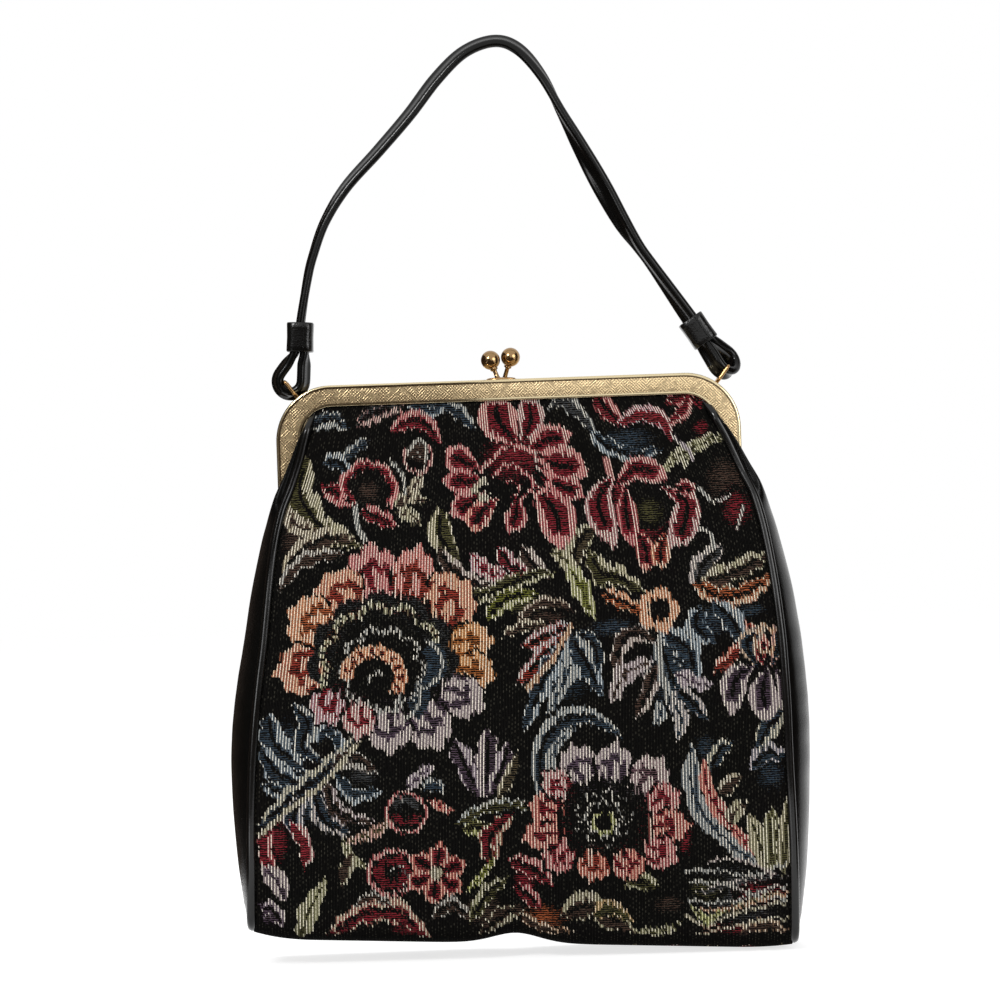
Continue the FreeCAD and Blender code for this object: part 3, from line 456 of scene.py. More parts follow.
def tapestry_material():
    # vertical floats of pale thread over dashes of coloured weft, on a black ribbed ground
    shade = Shade("tapestry", Specular_IOR_Level=0.03)
    across, along = shade.parts(shade.node("ShaderNodeUVMap", uv_map="weave"))[:2]
    thread, floats = shade.attribute("thread")
    weft, dyed = shade.attribute("weft")
    # pale threads lie on whole numbers across, coloured ones half way between them
    column = shade.math("FLOOR", across + 0.5)
    chance = shade.node("ShaderNodeTexWhiteNoise", {"W": column}, noise_dimensions="1D")
    from_mid = shade.math("ABSOLUTE", shade.math("FRACT", across) - 0.5)
    pale_core = shade.step(0.5 - from_mid, 0.21, 0.1)
    mid_core = shade.step(from_mid, 0.19, 0.08)
    rib = shade.math("MAXIMUM", pale_core, mid_core)
    # each thread is tied down about every two millimetres
    stagger = shade.math("MODULO", column, 2.0) * 0.5
    row = shade.math("DIVIDE", along, 1.9) + (stagger + chance * 0.3)
    end = shade.math("ABSOLUTE", shade.math("FRACT", row) - 0.5)
    whole = shade.span(shade.step(end, 0.5, 0.3), 0.5, 1.0)
    cell = shade.node("ShaderNodeCombineXYZ", {"X": column, "Y": shade.math("FLOOR", row)})
    speck = shade.node("ShaderNodeTexWhiteNoise", {"Vector": cell}, noise_dimensions="2D")
    held = shade.step(floats - speck * 0.25, 0.3, 0.5)
    float_mask = pale_core * whole * held
    mid_mask = mid_core * held * shade.span(chance, 0.65, 0.15)
    # the weft's dashes, about a millimetre apart, broken along their length
    squashed = shade.node("ShaderNodeCombineXYZ", {"X": across * 0.42, "Y": along * 1.1})
    wave = shade.math("SINE", along * 6.4 + shade.noise(squashed, 1.0, 2.0, 0.6) * 9.0)
    broken = shade.span(shade.noise(squashed, 2.3, 3.0, 0.7), -2.2, 2.2)
    dash = shade.step(wave + broken - (1.0 - dyed) * 2.4, -0.05, 0.6)
    weft_mask = shade.step(dyed, 0.02, 0.2) * shade.math("MAXIMUM", dash * 0.85, held * 0.2)
    # the ground with its dots and lint, then weft, half-hidden threads and floats over it
    lint = shade.step(shade.noise(shade.place(), 2300.0, 3.0, 0.7), 0.52, 0.78)
    dots = pale_core * shade.step(end, 0.34, 0.16)
    ground = shade.mix(rib, rgba(1, 1, 1), rgba(15, 14, 13))
    ground = shade.mix(dots * shade.step(speck, 0.3, 0.95), ground, rgba(48, 46, 40))
    ground = shade.mix(lint * 0.2, ground, rgba(44, 41, 37))
    mottle = shade.step(shade.noise(squashed, 1.1, 3.0, 0.7), 0.54, 0.74)
    tinted = shade.mix(mottle * 0.7, weft, rgba(112, 100, 88))
    tinted = shade.mix(speck * 0.25, tinted, rgba(20, 17, 17))
    bright = shade.mix(shade.span(chance, 0.2, 0.75), thread, rgba(255, 247, 228))
    bright = shade.mix(speck * 0.16, bright, rgba(96, 82, 74))
    colour = shade.mix(weft_mask, ground, tinted)
    colour = shade.mix(mid_mask, colour, shade.mix(0.55, thread, weft))
    shade.out("Base Color", shade.mix(float_mask, colour, bright))
    shade.out("Roughness", shade.span(float_mask, 0.92, 0.7))
    shade.bump(float_mask * 0.9 + weft_mask * 0.35 + rib * 0.3, 0.6, 0.0004)
    return shade.owner


TAPESTRY = tapestry_material()
GUSSET_VINYL = vinyl_material("gusset_vinyl", 0.22, 0.3, 0.6, 0.15)
PIPING_VINYL = vinyl_material("piping_vinyl", 0.16, 0.06, 0.1, 0.4)
STRAP_VINYL = vinyl_material("strap_vinyl", 0.16, 0.12, 0.1, 0.22)
SLEEVE_VINYL = vinyl_material("sleeve_vinyl", 0.2, 0.4, 0.1, 0.35)
ETCHED_GOLD = etched_material("etched_gold", (246, 219, 172), 0.3)
EDGE_GOLD = polished_material("edge_gold", (238, 220, 178), 0.15)
# The balls' brass is darkened below its own colour: painted shade for the dark surroundings they reflect
BALL_GOLD = polished_material("ball_gold", (170, 138, 98), 0.15)
WIRE_GOLD = polished_material("wire_gold", (186, 148, 100), 0.2)
LINING = cloth_material("lining_cloth", (38, 37, 37), (16, 16, 16), 9000.0)
BOARD = cloth_material("board", (150, 128, 98), (108, 92, 70), 900.0)
PAPER = cloth_material("paper_cord", (196, 172, 132), (150, 126, 92), 2600.0)

# The tapestry's design, in millimetres from the middle of the base. Each yarn has a thread and a weft colour.
YARNS = {
    "coral": ((226, 152, 126), (148, 56, 44)),
    "peach": ((230, 188, 146), (168, 90, 54)),
    "gold": ((230, 182, 122), (168, 98, 48)),
    "rose": ((218, 150, 144), (142, 44, 52)),
    "crimson": ((196, 112, 112), (132, 36, 46)),
    "blush": ((218, 202, 195), (108, 80, 86)),
    "cream": ((212, 202, 168), (78, 68, 50)),
    "lilac": ((204, 190, 197), (86, 70, 84)),
    "blue": ((178, 191, 199), (52, 66, 78)),
    "grey": ((190, 192, 187), (68, 70, 72)),
    "sage": ((196, 193, 152), (80, 77, 46)),
    "lime": ((200, 204, 118), (108, 110, 45)),
    "brown": ((172, 153, 130), (76, 58, 49)),
}
FLOAT_JITTER = 2.0
CURVE_STEPS = 14
PAST_END = 0.8
VEIN_HALF = 0.55
VEINED_FROM = 4.0
FAN_LOBES = 3
BAR_SHARE = 0.68

# Shaded patches: yarn, centre, reach across and up
PATCHES = (
    ("brown", 94, 199, 12, 14), ("crimson", 98, 186, 9, 10), ("crimson", 84, 222, 5, 4),
    ("blue", -33, 235, 12, 5), ("blue", 52, 218, 16, 7), ("blue", -78, 232, 8, 4), ("grey", -56, 238, 9, 4),
    ("brown", -94, 178, 9, 9), ("brown", -84, 174, 9, 5), ("blue", 42, 137, 13, 5), ("blue", 86, 138, 12, 9),
    ("blue", 102, 142, 9, 4), ("brown", 100, 134, 7, 5), ("blue", -100, 86, 9, 20), ("blue", -92, 64, 9, 10),
    ("crimson", -106, 49, 6, 11), ("lilac", -111, 17, 5, 6), ("grey", -68, 77, 9, 6), ("blue", 80, 84, 6, 7),
    ("blue", 108, 70, 8, 8), ("grey", 92, 18, 24, 18), ("sage", 78, 22, 10, 6), ("rose", 102, 20, 13, 5),
    ("brown", 62, 16, 9, 5), ("peach", 8, 12, 12, 7), ("crimson", 88, 4, 13, 3), ("crimson", -52, 8, 10, 4),
    ("brown", -18, 16, 12, 9), ("crimson", 0, 28, 6, 10), ("crimson", 70, 46, 4, 12),
    ("crimson", 2, 212, 18, 14), ("sage", 4, 148, 16, 5), ("brown", 14, 142, 10, 3),
    ("crimson", 58, 182, 12, 12), ("sage", 60, 186, 8, 8), ("rose", 48, 192, 5, 12),
    ("brown", -62, 199, 7, 7), ("brown", -40, 215, 4, 6), ("blue", 20, 116, 14, 14),
    ("blue", 66, 114, 12, 16), ("lilac", -17, 76, 9, 13),
)

# Leaves: half width, yarn, shade yarn, teeth along the edge, lit side (0 both edges, 2 all over), and then
# x and height of each point along the midrib
LEAVES = (
    # under the frame
    (4.5, "grey", "blue", 4, -1, -86, 228, -78, 231, -70, 227),
    (4.5, "rose", "grey", 3, -1, -66, 229, -58, 233, -46, 236),
    (3.4, "blue", "blue", 2, -1, -44, 237, -34, 233, -26, 237),
    (3.8, "grey", "blue", 3, 1, -28, 237, -21, 232, -15, 225),
    (4.2, "crimson", "crimson", 0, 1, -51, 225, -43, 230, -35, 227, -30, 219),
    (3, "grey", "brown", 0, 1, -45, 213, -39, 218, -37, 210),
    (4, "grey", "grey", 3, 1, 18, 233, 25, 236, 32, 229, 38, 221),
    (4.4, "rose", "crimson", 0, 1, 39, 239, 43, 232, 50, 224),
    (4, "lilac", "rose", 0, 1, 48, 225, 58, 229, 67, 226, 71, 217),
    (4.2, "blue", "blue", 4, -1, 36, 222, 42, 216, 54, 211, 68, 213),
    (4.4, "crimson", "crimson", 2, 1, 69, 234, 78, 237, 87, 231),
    (3.2, "rose", "crimson", 0, 1, 80, 235, 76, 229, 70, 224),
    (3, "sage", "sage", 0, 2, 66, 203, 75, 211, 86, 216, 97, 218),
    (1.6, "sage", "sage", 0, 2, 76, 205, 77, 209, 80, 212),
    # bud and plume at the left
    (4.4, "blue", "blue", 3, 1, -81, 212, -75, 213, -69, 206),
    (3.2, "grey", "blue", 2, 1, -72, 214, -66, 219, -61, 221),
    (4.4, "crimson", "crimson", 0, -1, -82, 202, -75, 198, -67, 193),
    (4.8, "crimson", "crimson", 2, 1, -65, 191, -58, 188, -50, 184),
    (4, "sage", "brown", 2, 1, -50, 192, -46, 196, -36, 194),
    (3.8, "cream", "brown", 2, 2, -46, 193, -42, 200, -38, 205),
    (3.6, "sage", "brown", 2, 2, -50, 190, -44, 188, -40, 184),
    (8, "cream", "sage", 3, 1, -88, 214, -92, 200, -84, 186, -65, 174),
    (4.4, "cream", "brown", 0, 2, -97, 192, -94, 186, -84, 182),
    (5.6, "cream", "brown", 4, 1, -100, 166, -92, 174, -80, 180, -68, 178),
    (4, "grey", "brown", 3, 1, -102, 158, -94, 168, -84, 172, -72, 172),
    # scrolls across the middle
    (5.6, "cream", "sage", 0, -1, -31, 190, -31, 178, -24, 168),
    (4.6, "blush", "brown", 4, 1, -32, 173, -27, 165, -18, 158, -8, 156),
    (4.6, "lilac", "crimson", 2, 2, -18, 170, -12, 163, -2, 160),
    (4.4, "lilac", "crimson", 2, 1, -6, 173, -1, 165, 8, 161),
    (4.6, "blush", "brown", 2, 1, 4, 173, 8, 166, 15, 158),
    (4.4, "sage", "sage", 3, -1, -22, 152, -10, 153, 4, 159, 18, 161),
    (4.8, "sage", "lime", 3, -1, -12, 142, -4, 150, 10, 153),
    (3, "brown", "brown", 3, 1, 0, 139, 8, 147, 18, 148, 26, 144),
    (3, "cream", "brown", 3, 1, -6, 134, 4, 139, 14, 138),
    (5, "sage", "cream", 0, -1, 35, 181, 28, 173, 25, 160),
    (3.6, "cream", "sage", 0, 2, 17, 170, 23, 166, 27, 159),
    (5, "sage", "lime", 3, 2, 24, 164, 29, 154, 34, 141),
    (6.2, "cream", "sage", 4, 1, 33, 170, 38, 161, 46, 158, 56, 152),
    (4.2, "peach", "peach", 3, 1, 38, 152, 46, 148, 57, 143),
    # large leaves at the right
    (6, "blush", "grey", 3, 1, 79, 152, 82, 162, 91, 171),
    (6, "sage", "brown", 2, 1, 82, 155, 95, 159, 113, 166),
    (5.6, "cream", "peach", 4, -1, 78, 154, 90, 148, 104, 151, 114, 158),
    (5.6, "blue", "blue", 3, -1, 80, 144, 78, 136, 86, 128),
    (5.8, "blue", "blue", 3, 1, 86, 146, 94, 138, 98, 128),
    (3.6, "coral", "coral", 2, 1, 85, 116, 92, 122, 98, 129),
    (2.2, "grey", "blue", 0, 2, 68, 136, 62, 130, 60, 122),
    # two stars of leaves
    (5, "blue", "coral", 2, -1, 24, 138, 14, 134, 2, 130),
    (5.4, "blue", "coral", 3, -1, 22, 134, 12, 126, 0, 114),
    (5.6, "blue", "blue", 4, 1, 22, 132, 12, 116, 2, 94),
    (4.2, "grey", "blue", 3, 2, 24, 134, 22, 118, 12, 100),
    (6.4, "blue", "blue", 4, 1, 24, 134, 30, 122, 36, 108),
    (4.4, "grey", "blue", 2, -1, 26, 136, 34, 128, 34, 118),
    (4.6, "blush", "brown", 3, 1, 60, 130, 50, 134, 44, 126, 42, 118),
    (5, "lilac", "brown", 3, 2, 58, 122, 46, 116, 40, 104),
    (4.4, "blush", "brown", 2, 1, 60, 120, 56, 108, 50, 98),
    (6.4, "blue", "blue", 3, 1, 64, 134, 74, 126, 77, 112),
    (6.2, "grey", "blue", 3, -1, 62, 130, 66, 116, 70, 104),
    (4.2, "lilac", "lilac", 2, 2, 68, 116, 76, 112, 84, 110),
    (4.4, "blush", "blue", 3, 1, 68, 110, 76, 102, 81, 96),
    (4.2, "blush", "blue", 3, 2, 66, 106, 70, 96, 68, 88),
    (2.8, "grey", "blue", 0, 2, 60, 104, 61, 98, 58, 94),
    # blue plume at the left
    (7, "blue", "blue", 4, 1, -108, 104, -106, 92, -94, 80),
    (4.6, "grey", "blue", 0, 1, -97, 108, -91, 100, -94, 90, -86, 84),
    (3.2, "blue", "blue", 0, 1, -87, 92, -83, 97, -78, 92, -80, 86),
    (5.6, "blue", "blue", 4, 1, -112, 90, -104, 78, -90, 73),
    (4.2, "blue", "blue", 3, -1, -112, 74, -102, 70, -90, 72),
    (5.4, "cream", "blue", 5, 1, -114, 56, -98, 69, -82, 81, -66, 97),
    (5, "grey", "brown", 3, -1, -81, 81, -73, 84, -62, 78),
    (4, "blue", "blue", 3, -1, -80, 77, -72, 68, -60, 70),
    (4.4, "lilac", "brown", 4, 1, -84, 74, -79, 61, -64, 56),
    (4.6, "blush", "blue", 4, -1, -90, 72, -86, 58, -74, 51),
    (5, "lilac", "blue", 3, 1, -94, 70, -99, 58, -95, 48),
    (4, "blush", "rose", 2, 1, -100, 58, -94, 47, -95, 37),
    (4, "rose", "crimson", 2, 1, -109, 56, -112, 46, -108, 34),
    (4.6, "blush", "lilac", 0, 2, -113, 38, -107, 32, -104, 23),
    (4.4, "lilac", "lilac", 2, 1, -115, 22, -109, 19, -105, 12),
    # buds, small leaves and the green leaf in the lower middle
    (2.2, "sage", "sage", 0, 2, -78, 49, -74, 41, -66, 35),
    (3.2, "sage", "brown", 0, 1, -74, 42, -77, 36, -79, 29),
    (2.4, "rose", "sage", 0, 2, -76, 48, -64, 52, -56, 58),
    (3.4, "lilac", "lilac", 2, 2, -49, 70, -44, 76, -37, 80),
    (3.6, "grey", "blue", 2, 1, -43, 70, -37, 72, -34, 68),
    (2.2, "coral", "crimson", 0, 2, -40, 65, -35, 62, -30, 60),
    (3.4, "blue", "sage", 3, 1, -29, 54, -18, 60, -4, 62, 6, 60),
    (4.4, "lime", "sage", 2, -1, -26, 52, -18, 52, -10, 46),
    (5.8, "sage", "crimson", 3, -1, -14, 36, -14, 48, -4, 58),
    (1.8, "lime", "lime", 0, 2, -25, 25, -18, 32, -12, 40),
    (5.6, "lilac", "lilac", 2, 1, -28, 90, -24, 80, -18, 66),
    (6, "blush", "lilac", 3, -1, -14, 94, -14, 82, -16, 66),
    (4.6, "lilac", "lilac", 2, -1, -5, 88, -8, 78, -14, 66),
    (3.4, "cream", "cream", 2, 1, -10, 65, -5, 74, -1, 84),
    # grey scroll over the second blossom
    (4.6, "grey", "blue", 0, 1, 8, 62, 9, 84, 18, 97, 31, 99, 44, 90),
    (2.4, "grey", "blue", 0, 2, 12, 66, 14, 84, 24, 94),
    # plumes at the right
    (5.4, "grey", "blue", 3, 2, 74, 84, 74, 64, 85, 46, 104, 30),
    (3.8, "coral", "crimson", 3, 2, 79, 78, 81, 64, 91, 48, 106, 33),
    (4.4, "cream", "blue", 2, 1, 82, 74, 86, 82, 92, 86),
    (4, "cream", "brown", 2, 1, 86, 62, 90, 68, 95, 71),
    (4.4, "sage", "brown", 2, 2, 90, 50, 92, 56, 97, 59),
    (5.4, "cream", "sage", 3, 2, 106, 30, 102, 42, 98, 54),
    (5.4, "sage", "sage", 3, 2, 108, 30, 107, 44, 108, 56),
    (4.4, "cream", "sage", 2, 2, 112, 28, 114, 44, 115, 60),
    (4.6, "lilac", "blue", 0, 1, 100, 74, 106, 80, 116, 78),
    (4.8, "cream", "blue", 0, -1, 103, 83, 109, 92, 117, 100),
    (1.6, "blush", "grey", 0, 1, 74, 20, 86, 23, 100, 26, 114, 26),
    (1.6, "cream", "sage", 0, 1, 80, 10, 92, 14, 104, 18, 114, 19),
    (2, "lime", "sage", 0, 2, 72, 14, 78, 9, 86, 12),
    # along the base
    (6, "sage", "sage", 3, 1, 40, 36, 47, 29, 58, 24), (5.4, "sage", "sage", 3, 2, -98, 4, -94, 18, -86, 32),
    (6.6, "cream", "crimson", 4, 1, -86, 6, -70, 17, -54, 16, -42, 2),
    (2.6, "grey", "brown", 3, 1, -74, 20, -66, 24, -58, 20),
    (4.2, "grey", "brown", 3, 1, -40, 14, -32, 19, -22, 12),
    (4.4, "sage", "sage", 3, 1, -24, 12, -16, 24, -7, 30),
    (5, "sage", "brown", 3, -1, -20, 4, -10, 13, 0, 16),
    (5.2, "rose", "crimson", 3, 1, -6, 38, 4, 34, 12, 26),
    (4.4, "crimson", "crimson", 2, 1, -4, 26, 2, 22, 6, 16),
    (3.4, "peach", "brown", 3, 1, -2, 14, 8, 6, 20, 5),
    (7.4, "sage", "brown", 2, 1, 15, 12, 26, 17, 36, 12, 47, 4),
    (3.6, "gold", "sage", 0, 1, 30, 12, 36, 16, 46, 9), (2.6, "sage", "sage", 4, 2, 48, 5, 58, 4, 68, 8),
    (3.4, "peach", "brown", 3, 1, 92, 2, 102, 6, 114, 2),
)

# Stems: half width, yarn, points
STEMS = (
    (0.8, "grey", -52, 212, -47, 206, -46, 198), (1.3, "grey", -68, 193, -67, 184, -64, 178),
    (1.6, "rose", 42, 210, 44, 201), (0.9, "lilac", 72, 218, 78, 213, 80, 208),
    (0.8, "grey", 82, 196, 88, 190, 95, 192), (0.8, "grey", 101, 186, 98, 178),
    (0.8, "grey", 80, 178, 86, 176, 87, 170), (0.9, "blush", 10, 200, 13, 192, 12, 184),
    (0.8, "blush", 8, 236, 10, 220, 12, 206), (1.2, "peach", 24, 138, 14, 122, 4, 112),
    (0.8, "grey", 62, 134, 62, 120, 64, 104), (1.1, "cream", -114, 52, -98, 65, -82, 77, -64, 98),
    (0.7, "cream", 69, 11, 77, 6, 91, 11, 104, 14, 113, 15),
    (0.7, "grey", 71, 17, 82, 16, 92, 17, 104, 21, 113, 22),
    (0.7, "grey", 72, 25, 82, 25, 92, 22, 104, 17, 113, 17),
    (0.7, "cream", 74, 2, 84, 4, 92, 6, 104, 8, 113, 8),
    (0.7, "grey", 70, 30, 82, 30, 95, 28, 106, 29, 113, 32),
    (0.6, "peach", 76, 13, 88, 13, 100, 16, 113, 19), (0.6, "blush", 80, 34, 90, 35, 100, 32, 108, 27),
)

# Rings: centre, inner and outer radius, scallops, wave, squash, first and last angle, yarn, how much of the
# floats and the weft shows, and the number of bars if it has them. Discs clear the ground of two blossoms.
DISCS = (
    ((-57, 126), 0, 38, 9, 0.1, 0.96, 0, 360, "brown", 0, 0),
    ((35, 56), 0, 27, 9, 0.1, 0.92, 0, 360, "brown", 0, 0),
)
RINGS = (
    ((-62, 200), 8.5, 13.5, 7, 0.1, 1, -40, 200, "rose", 1, 1),
    ((-62, 200), 9.6, 11.6, 7, 0.1, 1, -30, 190, "crimson", 0, 1),
    ((-40, 214), 5, 7, 5, 0.1, 1.25, 150, 400, "rose", 1, 0),
    ((2, 203), 13.5, 16.5, 4, 0.2, 0.9, -60, 170, "rose", 0.8, 1),
    ((0, 200), 8, 10.5, 4, 0.2, 0.9, -70, 150, "crimson", 0.9, 1),
    ((0, 198), 3, 4.6, 4, 0.2, 0.9, -90, 120, "rose", 0.8, 1),
    ((-12, 198), 2, 5.4, 4, 0.5, 1, 40, 330, "cream", 1, 0),
    ((62, 143.5), 3.2, 9.2, 5, 0.22, 1.1, 0, 360, "peach", 1, 1),
    ((62, 143.5), 0, 2.9, 5, 0, 1.1, 0, 360, "brown", 0, 0),
    ((108, 129), 3.6, 5.6, 4, 0.1, 1.2, 30, 330, "peach", 1, 0),
    ((-58, 124), 28, 33, 12, 0.14, 0.96, -15, 195, "grey", 0, 0.7),
    ((-58, 124), 24, 28.5, 11, 0.16, 0.98, -20, 200, "sage", 1, 0, 52),
    ((-58, 124), 21, 24.5, 11, 0.16, 0.98, 20, 200, "grey", 0, 0.6),
    ((-58, 124), 19, 28, 6, 0.2, 0.98, -60, 20, "blue", 0, 1),
    ((-58, 124), 24, 26.5, 5, 0.3, 0.98, -70, 30, "grey", 1, 0),
    ((-58, 122), 16, 19.5, 10, 0.18, 1, -75, 230, "grey", 1, 0, 43),
    ((-62, 119), 8.6, 14.8, 9, 0.05, 0.95, -40, 185, "coral", 0, 0.8),
    ((-62, 119), 12.8, 14.8, 9, 0.05, 0.95, -40, 185, "peach", 1, 1),
    ((-62, 119), 8.6, 10, 9, 0.05, 0.95, -50, 190, "peach", 1, 1),
    ((-62, 119), 9.8, 13, 9, 0.05, 0.95, -40, 185, "peach", 1, 1, 15),
    ((-60, 117), 3.6, 5.2, 7, 0.2, 0.9, 60, 200, "grey", 1, 0),
    ((-58, 110), 5.6, 8, 7, 0.3, 0.9, 190, 370, "grey", 1, 0),
    ((-50, 60), 7.4, 9.6, 6, 0.06, 1, 0, 360, "rose", 1, 1),
    ((-50, 60), 2, 7.4, 6, 0.1, 0.8, 190, 350, "crimson", 0.3, 1),
    ((-50, 60), 2, 7.4, 6, 0.1, 1, 20, 160, "grey", 0.4, 1),
    ((-57, 34), 9, 11.6, 7, 0.06, 0.92, 0, 360, "rose", 1, 1),
    ((-57, 34), 2, 8.6, 6, 0.15, 0.9, 0, 360, "crimson", 0.15, 1),
    ((-55, 32), 4, 5.2, 6, 0.15, 0.9, -60, 130, "grey", 1, 0),
    ((35, 55), 15.5, 17.2, 9, 0.4, 0.95, 20, 160, "grey", 0, 0.7),
    ((35, 55), 11.6, 13.4, 9, 0.45, 0.95, 0, 360, "grey", 1, 0, 24),
    ((35, 55), 7.2, 9, 8, 0.3, 0.95, 0, 360, "grey", 1, 0),
    ((35, 53), 3.2, 5.8, 7, 0.2, 0.9, 0, 360, "lime", 1, 0),
    ((35, 55), 0, 2.6, 5, 0, 1, 0, 360, "brown", 0, 0),
)

# Outlined petals: half width, yarn, yarn of the heart, points along the middle
HOLLOW = (
    (9, "rose", "crimson", 3, 218, -4, 228, -6, 239), (6, "blush", "crimson", 6, 218, 10, 228, 8, 239),
    (6.4, "rose", "crimson", 9, 214, 17, 219, 27, 221), (8.4, "rose", "crimson", 12, 208, 22, 208, 33, 204),
    (8.6, "rose", "crimson", 11, 198, 19, 187, 21, 172),
    (5.2, "crimson", "crimson", 14, 202, 24, 198, 31, 194),
    (6.6, "rose", "crimson", -14, 208, -21, 211, -27, 216),
    (5.6, "crimson", "crimson", -12, 202, -20, 202, -29, 203),
    (6.6, "rose", "crimson", -10, 196, -18, 192, -26, 188),
    (5.6, "coral", "crimson", -6, 194, -14, 187, -16, 180),
    (5, "crimson", "crimson", 2, 194, 2, 186, -2, 180), (6.4, "blush", "crimson", 44, 202, 38, 190, 44, 172),
    (4.6, "crimson", "crimson", 50, 198, 50, 186, 52, 172),
    (5.6, "rose", "crimson", 46, 198, 56, 205, 68, 200),
    (6.4, "blush", "crimson", 66, 196, 76, 190, 74, 178, 68, 171),
    (3.6, "rose", "crimson", 70, 194, 76, 196, 79, 192), (5, "coral", "crimson", 54, 178, 58, 168, 57, 161),
    (4.4, "peach", "coral", 66, 176, 64, 168, 65, 162), (3, "coral", "coral", 100, 138, 103, 132, 108, 128),
    (4.2, "peach", "blue", 104, 118, 100, 128, 108, 134),
    (3.6, "coral", "blue", 110, 118, 114, 126, 112, 134),
    (3, "coral", "crimson", 106, 118, 106, 124, 109, 128), (6, "blush", "lilac", 102, 118, 94, 112, 92, 98),
    (6.6, "blush", "lilac", 108, 116, 106, 106, 108, 94), (4, "blush", "lilac", 112, 116, 116, 108, 114, 98),
)

# Fan petals of the two blossoms: half width, yarn, shade yarn, root, tip
FANS = (
    (13, "rose", "crimson", -60, 150, -62, 177), (10, "rose", "coral", -48, 148, -40, 176),
    (13, "peach", "coral", -70, 146, -82, 165), (13, "peach", "peach", -78, 138, -99, 149),
    (12, "peach", "coral", -80, 124, -106, 122), (9, "lilac", "crimson", -76, 114, -88, 100),
    (14, "peach", "coral", -38, 144, -18, 158), (9, "gold", "gold", -32, 132, -9, 133),
    (10, "gold", "gold", -30, 122, -9, 117), (10, "blush", "lilac", -36, 116, -14, 103),
    (11, "blush", "lilac", -44, 110, -34, 86), (11, "blush", "lilac", -56, 108, -56, 85),
    (8, "blush", "rose", -68, 110, -70, 92), (9, "blush", "lilac", 28, 68, 22, 88),
    (9, "blush", "lilac", 38, 68, 42, 88), (9.5, "blush", "blush", 48, 64, 62, 80),
    (7.5, "rose", "crimson", 52, 58, 69, 65), (8, "coral", "crimson", 52, 50, 73, 50),
    (8, "rose", "crimson", 50, 44, 67, 34), (8, "coral", "crimson", 42, 42, 48, 27),
    (8, "coral", "coral", 32, 42, 28, 27), (8, "rose", "crimson", 22, 45, 9, 33),
    (7.5, "coral", "crimson", 19, 51, -1, 47), (7, "coral", "crimson", 19, 58, 2, 62),
    (7, "blush", "rose", 22, 65, 9, 75),
)


